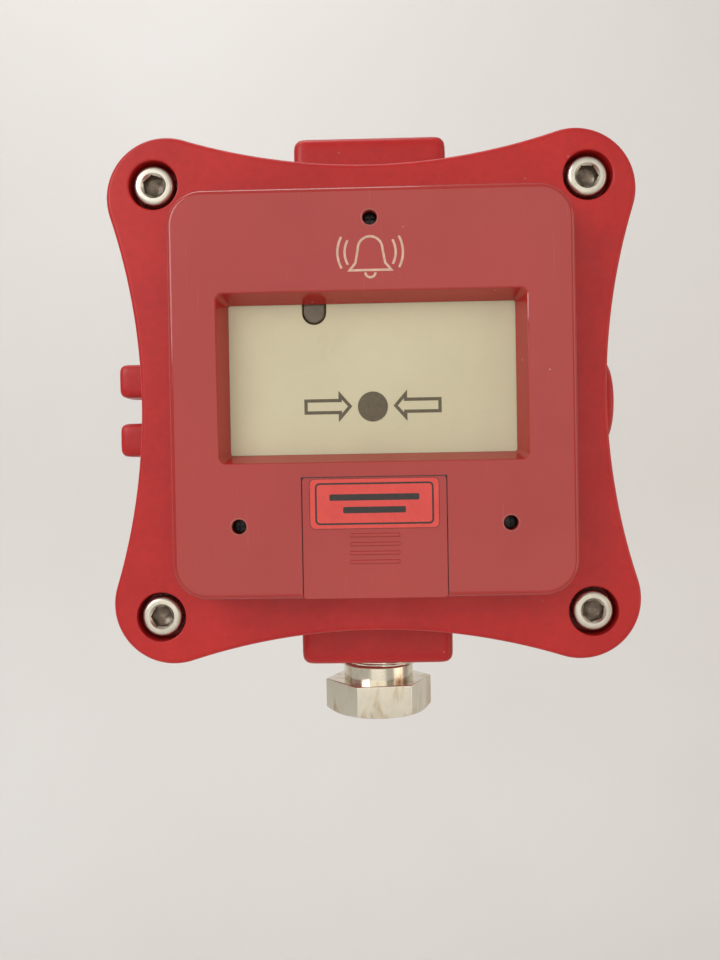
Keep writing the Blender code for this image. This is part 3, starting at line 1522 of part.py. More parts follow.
def build_switch():
    plunger_hole = PLUNGER_RADIUS + GAP
    switch = box(
        "micro_switch",
        (-SWITCH_WIDTH / 2, SWITCH_FRONT, ROD_Z - SWITCH_THICKNESS / 2),
        (SWITCH_WIDTH / 2, SWITCH_BACK, ROD_Z + SWITCH_THICKNESS / 2),
        radius=0.4 * MM,
        segments=1,
    )
    plunger_back = SWITCH_FRONT + PANEL_TRAVEL
    cut(
        switch,
        pin(
            "plunger_hole",
            plunger_hole,
            (0, ROD_Z),
            SWITCH_FRONT - OVERSHOOT,
            plunger_back + PANEL_TRAVEL + GAP,
            16,
        ),
        pins(
            "switch_mounting_holes",
            SWITCH_HOLE_RADIUS,
            [(side * (SWITCH_WIDTH / 2 - SWITCH_HOLE_INSET), ROD_Z) for side in (-1, 1)],
            SWITCH_FRONT - OVERSHOOT,
            SWITCH_FRONT + SWITCH_HOLE_DEPTH,
            12,
        ),
    )
    finished(switch, BLACK_PLASTIC)
    plunger = pin("switch_plunger", PLUNGER_RADIUS, (0, ROD_Z), PLUNGER_TIP, plunger_back, 16)
    finished(plunger, CREAM_PLASTIC)
    return plunger


def build_main_board():
    board = slab(
        "circuit_board",
        [
            rounded_rectangle(
                2 * (PILLAR_X + BOARD_MARGIN), 2 * (PILLAR_Z + BOARD_MARGIN), 2 * MM, steps=3
            )
        ],
        BOARD_FRONT,
        BOARD_BACK,
    )
    cut(
        board,
        pins(
            "board_fixing_holes",
            BOARD_SCREW_RADIUS + GAP,
            PILLARS,
            BOARD_FRONT - OVERSHOOT,
            BOARD_BACK + OVERSHOOT,
            16,
        ),
    )
    finished(board, BOARD_GREEN)
    corners = ("top_left", "top_right", "bottom_left", "bottom_right")
    head = BOARD_SCREW_HEAD_HEIGHT
    head_front = BOARD_FRONT - GAP - head
    length = head + GAP + BOARD_THICKNESS + BOARD_SCREW_LENGTH
    for corner, (x, z) in zip(corners, PILLARS):
        screw = turned(
            f"board_screw_{corner}",
            [
                (0.0, length),
                (BOARD_SCREW_RADIUS, length),
                (BOARD_SCREW_RADIUS, head),
                (BOARD_SCREW_HEAD_RADIUS, head),
                (BOARD_SCREW_HEAD_RADIUS, HEAD_CHAMFER),
                (BOARD_SCREW_HEAD_RADIUS * 0.6, 0.0),
                (0.0, 0.0),
            ],
            (x, head_front, z),
            (x, head_front + length, z),
            segments=16,
        )
        slot = box(
            f"board_slot_{corner}",
            (x - SCREW_SLOT_REACH, head_front - OVERSHOOT, z - SCREW_SLOT_HALF_WIDTH),
            (x + SCREW_SLOT_REACH, head_front + SCREW_SLOT_DEPTH, z + SCREW_SLOT_HALF_WIDTH),
        )
        cut(screw, slot)
        finished(screw, STEEL)


def build_terminals():
    """Terminal block whose wire ports face down, with one clamp screw for each port."""
    width = TERMINAL_COUNT * TERMINAL_PITCH
    front = BOARD_FRONT - GAP - TERMINAL_DEPTH
    places = [
        ((number - (TERMINAL_COUNT - 1) / 2) * TERMINAL_PITCH, TERMINAL_Z)
        for number in range(TERMINAL_COUNT)
    ]
    block = box(
        "terminal_block",
        (-width / 2, front, TERMINAL_Z - TERMINAL_HEIGHT / 2),
        (width / 2, BOARD_FRONT - GAP, TERMINAL_Z + TERMINAL_HEIGHT / 2),
        radius=0.5 * MM,
        segments=1,
    )
    screw_top = front + TERMINAL_SCREW_SINK
    screw_end = screw_top + TERMINAL_SCREW_LENGTH
    port_y = screw_end + TERMINAL_PORT_RADIUS
    for number, (x, _) in enumerate(places):
        port = cylinder(
            f"wire_port_{number + 1}",
            TERMINAL_PORT_RADIUS,
            (x, port_y, TERMINAL_Z - TERMINAL_HEIGHT / 2 - OVERSHOOT),
            (x, port_y, TERMINAL_Z + TERMINAL_SCREW_RADIUS),
            segments=12,
        )
        cut(block, port)
    wells = pins(
        "screw_wells",
        TERMINAL_SCREW_RADIUS + GAP,
        places,
        front - OVERSHOOT,
        screw_end + GAP,
        16,
    )
    cut(block, wells)
    finished(block, TERMINAL_GREEN)
    for number, (x, z) in enumerate(places):
        screw = pin(
            f"terminal_screw_{number + 1}", TERMINAL_SCREW_RADIUS, (x, z), screw_top, screw_end, 16
        )
        slot = box(
            f"terminal_slot_{number + 1}",
            (x - SCREW_SLOT_REACH, screw_top - OVERSHOOT, z - SCREW_SLOT_HALF_WIDTH),
            (x + SCREW_SLOT_REACH, screw_top + SCREW_SLOT_DEPTH, z + SCREW_SLOT_HALF_WIDTH),
        )
        cut(screw, slot)
        finished(screw, STEEL)


def hex_screw(name, seat, direction, look):
    """An M5 hexagon screw whose head rests against seat. Its thread runs along direction."""
    seat, direction = Vector(seat), Vector(direction)
    head_top = seat - direction * EARTH_HEAD_HEIGHT
    screw = cylinder(
        name, EARTH_SCREW_RADIUS, head_top + direction * OVERLAP, seat + direction * screw_reach(), 20
    )
    head = prism(name + "_head", EARTH_HEAD_FLATS, head_top, seat)
    join(screw, head)
    finished(screw, look)


def screw_reach():
    """How far an earth screw reaches under its head: washer, clamp, gaps and thread."""
    return SPRING_WASHER_THICKNESS + CLAMP_THICKNESS + 2 * GAP + EARTH_THREAD


def build_earth_terminals():
    pad_face = -TUB_SPAN / 2 - EARTH_PAD_HEIGHT
    clamp_low = pad_face - GAP - CLAMP_THICKNESS
    washer_low = clamp_low - GAP - SPRING_WASHER_THICKNESS
    place = (EARTH_PAD_X, ENTRY_AXIS_Y)
    clamp = box(
        "outer_earth_clamp",
        (place[0] - CLAMP_SIZE / 2, place[1] - CLAMP_SIZE / 2, clamp_low),
        (place[0] + CLAMP_SIZE / 2, place[1] + CLAMP_SIZE / 2, pad_face - GAP),
        radius=0.4 * MM,
        segments=1,
    )
    cut(
        clamp,
        cylinder(
            "clamp_hole",
            EARTH_SCREW_RADIUS + GAP,
            (*place, clamp_low - OVERSHOOT),
            (*place, pad_face + OVERSHOOT),
            20,
        ),
    )
    finished(clamp, NICKEL)
    spring_washer(
        "outer_earth_washer",
        EARTH_WASHER_RADIUS,
        EARTH_SCREW_RADIUS + GAP,
        SPRING_WASHER_THICKNESS,
        (*place, clamp_low - GAP),
        (0, 0, -1),
        STEEL,
    )
    hex_screw("outer_earth_screw", (*place, washer_low - GAP), (0, 0, 1), NICKEL)

    x, z = INNER_EARTH_PLACE
    boss_top = CAVITY_FLOOR - INNER_EARTH_BOSS
    washer_thickness = CLAMP_THICKNESS + SPRING_WASHER_THICKNESS
    washer = depth_ring(
        "inner_earth_washer",
        EARTH_WASHER_RADIUS + GAP,
        EARTH_SCREW_RADIUS + GAP,
        (x, z),
        boss_top - GAP - washer_thickness,
        boss_top - GAP,
        24,
    )
    finished(washer, NICKEL)
    hex_screw("inner_earth_screw", (x, boss_top - 2 * GAP - washer_thickness, z), (0, 1, 0), NICKEL)


# ---------------------------------------------------------------- cable entries


def build_gland():
    """Seal, washer, blanking disc and hollow gland nut, in their order down the entry."""
    def at(distance):
        return (0, ENTRY_AXIS_Y, -distance)

    seal_top = SHOULDER_REACH + GAP
    washer_top = seal_top + GLAND_SEAL_THICKNESS + GAP
    blank_top = washer_top + GLAND_WASHER_THICKNESS + GAP
    nut_top = blank_top + BLANK_THICKNESS + GAP
    hex_top = HUB_REACH + NUT_NECK
    nut_end = hex_top + NUT_HEX_HEIGHT
    seal = ring(
        "gland_seal",
        ENTRY_THREAD_RADIUS,
        GLAND_SEAL_BORE,
        at(seal_top),
        at(seal_top + GLAND_SEAL_THICKNESS),
    )
    finished(seal, RUBBER)
    washer = ring(
        "gland_washer",
        ENTRY_THREAD_RADIUS - GAP,
        NUT_BORE_RADIUS,
        at(washer_top),
        at(washer_top + GLAND_WASHER_THICKNESS),
    )
    finished(washer, STEEL)
    blank = cylinder(
        "blanking_disc",
        ENTRY_THREAD_RADIUS - GAP,
        at(blank_top),
        at(blank_top + BLANK_THICKNESS),
        32,
    )
    finished(blank, STEEL)
    length = nut_end - nut_top
    thread_end = HUB_REACH + NUT_THREAD_SHOWING - nut_top
    nut = turned(
        "gland_nut",
        [
            (NUT_NECK_RADIUS, length - NUT_HEX_HEIGHT + OVERLAP),
            (NUT_NECK_RADIUS, thread_end + 0.6 * MM),
            (ENTRY_THREAD_RADIUS, thread_end),
            (ENTRY_THREAD_RADIUS, 0.8 * MM),
            (ENTRY_THREAD_RADIUS - 0.8 * MM, 0.0),
            (NUT_BORE_RADIUS, 0.0),
            (NUT_BORE_RADIUS, length - NUT_HEX_HEIGHT + OVERLAP),
        ],
        at(nut_top),
        at(nut_end),
        segments=32,
        closed=True,
    )
    head = prism("nut_head", NUT_FLATS, at(hex_top), at(nut_end), spin=math.pi / 6 + NUT_TURN)
    corner = NUT_FLATS / math.sqrt(3)
    chamfered = turned(
        "nut_chamfer",
        [
            (0.0, NUT_HEX_HEIGHT),
            (NUT_FLATS / 2 - 0.3 * MM, NUT_HEX_HEIGHT),
            (corner + 0.3 * MM, NUT_HEX_HEIGHT - NUT_CHAMFER),
            (corner + 0.3 * MM, -OVERSHOOT),
            (0.0, -OVERSHOOT),
        ],
        at(hex_top),
        at(nut_end),
        segments=36,
    )
    combine(head, chamfered, "INTERSECT")
    join(nut, head)
    bore = cylinder(
        "nut_bore",
        NUT_BORE_RADIUS + 0.05 * MM,
        at(hex_top - OVERLAP),
        at(nut_end + OVERSHOOT),
        32,
    )
    mouth = cylinder(
        "nut_mouth",
        NUT_BORE_RADIUS - 0.5 * MM,
        at(nut_end - 2 * MM),
        at(nut_end + OVERSHOOT),
        32,
        end_radius=NUT_BORE_RADIUS + NUT_MOUTH_FLARE,
    )
    cut(nut, bore, mouth)
    finished(nut, NICKEL)
    guided_by("gland_axis", (0, ENTRY_AXIS_Y, -HUB_REACH), washer, blank, nut)


def build_stopping_plug():
    """Flush socket plug and its flat gasket in the unused upper entry."""
    def at(distance):
        return (0, ENTRY_AXIS_Y, distance)

    gasket_low = SHOULDER_REACH + GAP
    gasket_high = gasket_low + PLUG_GASKET_THICKNESS
    gasket = ring(
        "plug_gasket", ENTRY_THREAD_RADIUS, PASSAGE_RADIUS, at(gasket_low), at(gasket_high)
    )
    finished(gasket, RUBBER)
    plug_low = gasket_high + GAP
    plug_high = HUB_REACH - PLUG_SINK
    length = plug_high - plug_low
    edge = 0.8 * MM
    plug = turned(
        "stopping_plug",
        [
            (0.0, length),
            (ENTRY_THREAD_RADIUS - edge, length),
            (ENTRY_THREAD_RADIUS, length - edge),
            (ENTRY_THREAD_RADIUS, edge),
            (ENTRY_THREAD_RADIUS - edge, 0.0),
            (0.0, 0.0),
        ],
        at(plug_low),
        at(plug_high),
        segments=32,
    )
    socket = prism(
        "plug_socket",
        PLUG_SOCKET_FLATS,
        at(plug_high - PLUG_SOCKET_DEPTH),
        at(plug_high + OVERSHOOT),
    )
    cut(plug, socket)
    finished(plug, NICKEL)


def main():
    start_scene()
    build_body()
    build_lid()
    build_lid_seal()
    build_lid_fasteners()
    build_cover()
    build_base()
    build_base_screws()
    panel = build_panel()
    build_lens_and_led()
    build_door()
    build_jack()
    build_detents()
    build_bush()
    rod, retainer = build_rod()
    build_rod_spring()
    plunger = build_switch()
    guided_by("press_axis", (0, PANEL_FRONT, ROD_Z), panel)
    guided_by("rod_axis", (0, ROD_FRONT, ROD_Z), rod, retainer)
    guided_by("plunger_axis", (0, PLUNGER_TIP, ROD_Z), plunger)
    build_main_board()
    build_terminals()
    build_earth_terminals()
    build_gland()
    build_stopping_plug()


main()
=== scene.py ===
"""Looks of the manual call point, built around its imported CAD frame.

Everything is in metres in the frame of the CAD: +Z up, the front faces -Y, the wall is at y 0.
"""

import math

import bmesh
import bpy
from mathutils import Matrix, Vector


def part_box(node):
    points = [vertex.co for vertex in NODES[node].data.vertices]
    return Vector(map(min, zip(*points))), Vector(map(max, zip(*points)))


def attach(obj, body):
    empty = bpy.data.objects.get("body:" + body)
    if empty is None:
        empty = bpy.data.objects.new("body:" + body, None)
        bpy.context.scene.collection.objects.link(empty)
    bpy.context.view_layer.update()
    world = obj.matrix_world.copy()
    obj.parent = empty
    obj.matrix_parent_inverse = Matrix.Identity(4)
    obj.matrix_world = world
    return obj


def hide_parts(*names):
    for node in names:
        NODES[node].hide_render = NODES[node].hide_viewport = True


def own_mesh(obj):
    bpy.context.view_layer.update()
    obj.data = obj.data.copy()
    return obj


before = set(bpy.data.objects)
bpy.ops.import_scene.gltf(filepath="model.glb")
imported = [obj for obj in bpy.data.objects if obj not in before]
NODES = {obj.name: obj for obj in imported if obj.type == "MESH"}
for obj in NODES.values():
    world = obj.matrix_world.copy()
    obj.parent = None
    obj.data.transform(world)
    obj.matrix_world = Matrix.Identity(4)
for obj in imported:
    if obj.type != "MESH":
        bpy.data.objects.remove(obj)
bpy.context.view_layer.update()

MM = 0.001
EPS = 0.004 * MM  # how close a corner lies to a level to count as on it
OVER = 1.0 * MM  # how far a cutter runs past the face it opens

# ---- sizes from the frame

LID_LOW, LID_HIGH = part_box("lid")
LID_FRONT = LID_LOW.y
LID_HALF = LID_HIGH.x
COVER_LOW, COVER_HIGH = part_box("front_cover")
COVER_FRONT, COVER_BACK = COVER_LOW.y, COVER_HIGH.y
BODY_LOW, BODY_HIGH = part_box("body_shell")
FLANGE_FACE = BODY_LOW.y
PANEL_LOW, PANEL_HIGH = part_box("press_panel")
PANEL_FRONT = PANEL_LOW.y
DOOR_LOW, DOOR_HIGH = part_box("jack_door")
LABEL_LOW, LABEL_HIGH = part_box("warning_label")
NUT_LOW, NUT_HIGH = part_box("gland_nut")
PLUG_LOW, PLUG_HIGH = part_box("stopping_plug")
SEAL_LOW, SEAL_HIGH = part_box("lid_seal")

# ---- sizes of the housing

SIDE_HOLLOW = 7.8 * MM
LOBE_RADIUS = 15.0 * MM
SCREW_REACH = LID_HALF - 11.9 * MM  # to each lid screw's axis, both ways
FLANGE_INSET = 0.5 * MM
FLANGE_THICKNESS = 10.0 * MM
LID_THICKNESS = 11.7 * MM
LID_EDGE = 1.2 * MM
LID_BACK = LID_FRONT + LID_THICKNESS
WAIST = LID_HALF - SIDE_HOLLOW
CAVITY_HALF = WAIST - 10.6 * MM
CAVITY_CORNER = 12.0 * MM
WALL = 5.0 * MM
TUB_HALF = CAVITY_HALF + WALL
TUB_CORNER = CAVITY_CORNER + WALL
HUB_HALF = 20.0 * MM
HUB_FRONT = FLANGE_FACE + 1.0 * MM
HUB_BACK = -5.0 * MM
HUB_REACH = BODY_HIGH.z
HUB_EDGE = 2.4 * MM
ENTRY_Y = (HUB_FRONT + HUB_BACK) / 2
BORE_RADIUS = 10.7 * MM
SHOULDER = CAVITY_HALF + 3.0 * MM
PASSAGE_RADIUS = 6.5 * MM
LUG_REACH = -BODY_LOW.x
LUG_FRONT = ENTRY_Y - 1.0 * MM
LUG_DEPTH = 12.0 * MM
LUG_SLOT = 7.2 * MM
LUG_HEIGHT = 9.6 * MM
BOSS_REACH = BODY_HIGH.x
SIDE_BOSS_RADIUS = 12.0 * MM
BOSS_RADIUS = 10.0 * MM  # of the boss behind each lid screw
BOSS_DEPTH = 33.0 * MM
GROOVE_REACH = CAVITY_HALF + 4.7 * MM
GROOVE_WIDTH = 3.0 * MM
GROOVE_DEPTH = 2.0 * MM
COUNTERBORE_RADIUS = 6.1 * MM
COUNTERBORE_DEPTH = 8.6 * MM
EARTH_SCREW_HOLE = 2.8 * MM
SPIGOT_HALF = CAVITY_HALF - 0.3 * MM
EARTH_X = 31.0 * MM
INNER_EARTH = (-38.5 * MM, -20.0 * MM)
PILLAR_X, PILLAR_Z = 28.0 * MM, 27.0 * MM
WALL_SCREW = 36.0 * MM
CORNERS = ((-1, -1), (-1, 1), (1, -1), (1, 1))
THREAD_PITCH = 1.814 * MM
NUT_FLATS = 26.0 * MM
NUT_HEX_HEIGHT = 8.9 * MM
NUT_TURN = math.radians(7.0)
NUT_ROOT, NUT_CREST, NUT_BORE = 9.6 * MM, 10.38 * MM, 7.0 * MM
NUT_THREAD_SHOWING = 3.5 * MM
NECK_SHARE = 0.2  # the plain neck's height above the thread's root, as a share of the thread

# ---- sizes of the front unit

COVER_CORNER = 8.4 * MM
COVER_EDGE = 1.3 * MM
COVER_WALL = 2.2 * MM
WINDOW_HALF = (36.5 * MM, 20.0 * MM)
WINDOW_DEPTH = 6.0 * MM
WINDOW_TAPER = 1.3 * MM  # how far the opening has narrowed where the notch ends
WINDOW_LEAN = 1.9 * MM  # the walls lean in this much over the window's depth
WINDOW_CORNER = 1.5 * MM
WINDOW_Z = (PANEL_LOW.z + PANEL_HIGH.z) / 2
SKIRT_WALL = 1.3 * MM
PANEL_HALF = (PANEL_HIGH.x, (PANEL_HIGH.z - PANEL_LOW.z) / 2)
PANEL_THICKNESS = 2.0 * MM
NOTCH_X = -13.85 * MM
NOTCH_RADIUS = 2.9 * MM
NOTCH_BOTTOM = WINDOW_Z + WINDOW_HALF[1] - WINDOW_TAPER - 5.4 * MM
DOOR_HALF = 17.0 * MM
DOOR_TOP = LABEL_HIGH.z + 0.6 * MM - 0.25 * MM
ACCESS_RADIUS = 1.7 * MM
ACCESS_HOLES = {"top": (0.0, 41.4 * MM), "lower_left": (-32.1 * MM, -30.9 * MM),
                "lower_right": (32.1 * MM, -30.9 * MM)}


# ---- mesh helpers


def put(name, mesh):
    """A new object in the scene, at the origin."""
    piece = bpy.data.objects.new(name, mesh)
    bpy.context.scene.collection.objects.link(piece)
    return piece


def from_shape(name, shape):
    """Turns a bmesh into an object."""
    bmesh.ops.recalc_face_normals(shape, faces=shape.faces[:])
    mesh = bpy.data.meshes.new(name)
    shape.to_mesh(mesh)
    shape.free()
    return put(name, mesh)


def applied(piece):
    """Works the object's modifiers and its placement into its mesh."""
    bpy.context.view_layer.update()
    evaluated = piece.evaluated_get(bpy.context.evaluated_depsgraph_get())
    mesh = bpy.data.meshes.new_from_object(evaluated)
    mesh.transform(piece.matrix_world)
    piece.modifiers.clear()
    piece.data = mesh
    piece.matrix_world = Matrix.Identity(4)
    return piece


def solids(piece, operation, tools):
    """Joins or cuts with each tool in turn, and removes the tools."""
    for tool in tools:
        step = piece.modifiers.new(tool.name, "BOOLEAN")
        step.operation = operation
        step.object = tool
        step.solver = "EXACT"
    applied(piece)
    for tool in tools:
        bpy.data.objects.remove(tool)
    return piece


def cut(piece, *tools):
    return solids(piece, "DIFFERENCE", tools)


def join(piece, *tools):
    return solids(piece, "UNION", tools)


def heap(name, *parts):
    """Several objects as one mesh, without joining their surfaces."""
    shape = bmesh.new()
    for part in parts:
        applied(part)
        shape.from_mesh(part.data)
        bpy.data.objects.remove(part)
    return from_shape(name, shape)


def lathe(name, profile, start, along, segments=64, closed=False, spin=0.0):
    """A turned solid: profile points are (radius, distance from start along the axis)."""
    shape = bmesh.new()
    turn = Vector(along).to_track_quat("Z", "Y").to_matrix()
    rows = []
    for radius, distance in profile:
        count = segments if radius > 1e-9 else 1
        row = []
        for step in range(count):
            angle = spin + math.tau * step / count
            spot = Vector((radius * math.cos(angle), radius * math.sin(angle), distance))
            row.append(shape.verts.new(turn @ spot + Vector(start)))
        rows.append(row)
    pairs = list(zip(rows, rows[1:]))
    if closed:
        pairs.append((rows[-1], rows[0]))
    for one, other in pairs:
        for step in range(segments):
            after = step + 1
            corners = [one[step % len(one)], one[after % len(one)],
                       other[after % len(other)], other[step % len(other)]]
            face = list(dict.fromkeys(corners))
            if len(face) > 2:
                shape.faces.new(face)
    return from_shape(name, shape)


def skin_rows(shape, rows, loop=True):
    """Joins each row of corners to the next with four-sided faces; a loop closes round."""
    for one, other in zip(rows, rows[1:]):
        for step in range(len(one) if loop else len(one) - 1):
            after = (step + 1) % len(one)
            shape.faces.new((one[step], one[after], other[after], other[step]))


def rod(name, radius, start, end, segments=48, spin=0.0):
    """A plain cylinder or prism from start to end."""
    way = Vector(end) - Vector(start)
    profile = [(0.0, 0.0), (radius, 0.0), (radius, way.length), (0.0, way.length)]
    return lathe(name, profile, start, way, segments, spin=spin)


def pin(name, radius, place, front, back, segments=48, spin=0.0):
    """A cylinder along the depth, centred on place = (x, z)."""
    return rod(name, radius, (place[0], front, place[1]), (place[0], back, place[1]), segments, spin)


def block(name, low, high, radius=0.0, segments=3):
    """A box between two corners, with round edges if a radius is given."""
    low, high = Vector(low), Vector(high)
    shape = bmesh.new()
    place = Matrix.Translation((low + high) / 2) @ Matrix.Diagonal((*(high - low), 1.0))
    bmesh.ops.create_cube(shape, size=1.0, matrix=place)
    if radius:
        bmesh.ops.bevel(shape, geom=shape.edges[:], offset=radius, segments=segments,
                        affect="EDGES", profile=0.5)
    return from_shape(name, shape)


def arc(centre, radius, start, end, steps):
    """Points along an arc, both ends included."""
    points = []
    for step in range(steps + 1):
        angle = start + (end - start) * step / steps
        points.append((centre[0] + radius * math.cos(angle), centre[1] + radius * math.sin(angle)))
    return points


def round_box(half_width, half_height, radius, centre=(0.0, 0.0), steps=10):
    """The outline of a rectangle with round corners, counter-clockwise."""
    points = []
    for corner, (x, z) in enumerate(((1, 1), (-1, 1), (-1, -1), (1, -1))):
        middle = (centre[0] + x * (half_width - radius), centre[1] + z * (half_height - radius))
        start = corner * math.pi / 2
        points += arc(middle, radius, start, start + math.pi / 2, steps)
    return points


def lobed(inset=0.0, lobe_steps=36, side_steps=30):
    """Four round corner lobes joined by hollow sides that run into them smoothly."""
    lobe = LOBE_RADIUS - inset
    reach = LID_HALF - LOBE_RADIUS
    waist = WAIST - inset
    rise = waist - reach
    side = (rise**2 + reach**2 - lobe**2) / (2 * (lobe - rise))
    lean = math.asin(reach / (side + lobe))
    points = []
    for corner in range(4):
        turn = corner * math.pi / 2
        hollow = arc((waist + side, 0.0), side, math.pi + lean, math.pi - lean, side_steps)
        knob = arc((reach, reach), lobe, -lean, math.pi / 2 + lean, lobe_steps)
        for x, z in hollow[:-1] + knob[:-1]:
            points.append(
                (x * math.cos(turn) - z * math.sin(turn), x * math.sin(turn) + z * math.cos(turn))
            )
    return points


def plate(name, outlines, front, back):
    """A flat plate between two depths. Later outlines are holes in the first."""
    curve = bpy.data.curves.new(name + "_outline", "CURVE")
    curve.dimensions = "2D"
    curve.fill_mode = "BOTH"
    curve.extrude = (back - front) / 2
    for outline in outlines:
        spline = curve.splines.new("POLY")
        spline.points.add(len(outline) - 1)
        for point, (x, z) in zip(spline.points, outline):
            point.co = (x, z, 0.0, 1.0)
        spline.use_cyclic_u = True
    guide = put(name + "_guide", curve)
    guide.location = (0.0, (front + back) / 2, 0.0)
    guide.rotation_euler = (math.pi / 2, 0.0, 0.0)
    bpy.context.view_layer.update()
    evaluated = guide.evaluated_get(bpy.context.evaluated_depsgraph_get())
    mesh = bpy.data.meshes.new_from_object(evaluated)
    shape = bmesh.new()
    shape.from_mesh(mesh)
    shape.transform(guide.matrix_world)
    bpy.data.objects.remove(guide)
    bmesh.ops.remove_doubles(shape, verts=shape.verts[:], dist=1e-6)
    bmesh.ops.dissolve_limit(shape, angle_limit=math.radians(0.2), verts=shape.verts[:],
                             edges=shape.edges[:], use_dissolve_boundaries=False)
    return from_shape(name, shape)


def soften(piece, radius, segments, test, degrees=30.0):
    """Rounds the sharp edges whose two ends both pass the test."""
    shape = bmesh.new()
    shape.from_mesh(piece.data)
    chosen = [
        edge
        for edge in shape.edges
        if len(edge.link_faces) == 2
        and edge.calc_face_angle(0.0) > math.radians(degrees)
        and all(test(corner.co) for corner in edge.verts)
    ]
    bmesh.ops.bevel(shape, geom=chosen, offset=radius, segments=segments, affect="EDGES",
                    profile=0.5, clamp_overlap=True)
    shape.to_mesh(piece.data)
    shape.free()
    return piece


def at_depth(depth):
    """A test for corners that lie at one depth."""
    return lambda corner: abs(corner.y - depth) < EPS


def ribbon(points, width, closed=False):
    """The outlines of a line of even width drawn through the points, with square mitres."""
    count = len(points)
    left, right = [], []
    for index, (x, z) in enumerate(points):
        before = points[index - 1] if closed or index else points[index]
        after = points[(index + 1) % count] if closed or index < count - 1 else points[index]
        ways = []
        for (ax, az), (bx, bz) in ((before, (x, z)), ((x, z), after)):
            length = math.hypot(bx - ax, bz - az)
            if length > 1e-9:
                ways.append(((bx - ax) / length, (bz - az) / length))
        first, last = ways[0], ways[-1]
        normal = Vector((-(first[1] + last[1]), first[0] + last[0]))
        normal.normalize()
        reach = width / 2 / max(0.3, normal.x * -first[1] + normal.y * first[0])
        left.append((x + normal.x * reach, z + normal.y * reach))
        right.append((x - normal.x * reach, z - normal.y * reach))
    if closed:
        return [left, right] if abs(area(left)) > abs(area(right)) else [right, left]
    return [left + right[::-1]]


def area(points):
    """Signed area inside an outline."""
    pairs = zip(points, points[1:] + points[:1])
    return sum(ax * bz - bx * az for (ax, az), (bx, bz) in pairs) / 2


# ---- material helpers


class Skin:
    """A node material with short ways to add its nodes. Sizes are in metres on the object."""

    def __init__(self, name):
        self.material = bpy.data.materials.new(name)
        self.material.use_nodes = True
        self.tree = self.material.node_tree
        self.shader = self.tree.nodes["Principled BSDF"]
        self.place = self.tree.nodes.new("ShaderNodeTexCoord").outputs["Object"]
        self.normal = None

    def feed(self, socket, value):
        """Links another node's output to the socket, or sets the socket's own value."""
        if isinstance(value, bpy.types.NodeSocket):
            self.tree.links.new(value, socket)
        else:
            socket.default_value = value

    def set(self, **values):
        """Sets the shader's sockets; an underscore stands for a space in a socket's name."""
        for name, value in values.items():
            self.feed(self.shader.inputs[name.replace("_", " ")], value)

    def node(self, kind, **values):
        """Adds a node and sets its inputs by name."""
        node = self.tree.nodes.new("ShaderNode" + kind)
        for name, value in values.items():
            self.feed(node.inputs[name.replace("_", " ")], value)
        return node

    def noise(self, size, detail=3.0, rough=0.55, scale=None, warp=0.0):
        place = self.place
        if scale:
            place = self.node("Mapping", Scale=scale, Vector=place).outputs["Vector"]
        return self.node("TexNoise", Scale=1 / size, Detail=detail, Roughness=rough,
                         Distortion=warp, Vector=place).outputs["Fac"]

    def cells(self, size):
        return self.node("TexVoronoi", Scale=1 / size, Vector=self.place).outputs["Distance"]

    def bands(self, size):
        """Wavy bands across X."""
        return self.node("TexWave", Scale=1 / size, Distortion=1.5, Detail=2.0,
                         Vector=self.place).outputs["Fac"]

    def ramp(self, factor, *stops):
        node = self.node("ValToRGB", Fac=factor)
        elements = node.color_ramp.elements
        while len(elements) < len(stops):
            elements.new(0.5)
        for element, (position, colour) in zip(elements, stops):
            element.position = position
            element.color = (*colour, 1.0)
        return node.outputs["Color"]

    def level(self, factor, low, high, start=0.3, end=0.7):
        """Spreads the part of the factor between start and end over low to high."""
        return self.node("MapRange", Value=factor, From_Min=start, From_Max=end,
                         To_Min=low, To_Max=high).outputs["Result"]

    def maths(self, kind, one, other):
        node = self.node("Math")
        node.operation = kind
        self.feed(node.inputs[0], one)
        self.feed(node.inputs[1], other)
        return node.outputs["Value"]

    def mix(self, factor, base, top, mode="MIX"):
        node = self.node("Mix")
        node.data_type = "RGBA"
        node.blend_type = mode
        sockets = {socket.identifier: socket for socket in (*node.inputs, *node.outputs)}
        self.feed(sockets["Factor_Float"], factor)
        for socket, value in ((sockets["A_Color"], base), (sockets["B_Color"], top)):
            self.feed(socket, (*value, 1.0) if isinstance(value, tuple) else value)
        return sockets["Result_Color"]

    def bump(self, height, distance, strength=1.0):
        """Adds a relief on top of those the material already has."""
        node = self.node("Bump", Distance=distance, Strength=strength, Height=height)
        if self.normal is not None:
            self.feed(node.inputs["Normal"], self.normal)
        self.normal = node.outputs["Normal"]
        self.set(Normal=self.normal)

    def scratches(self, length, width, direction, amount):
        """Long thin marks: a stretched noise, kept only where it peaks."""
        scale = [1.0, 1.0, 1.0]
        scale[direction] = width / length
        return self.level(self.noise(width, 1.0, 0.4, scale, 0.6), 0.0, 1.0, amount, amount + 0.05)


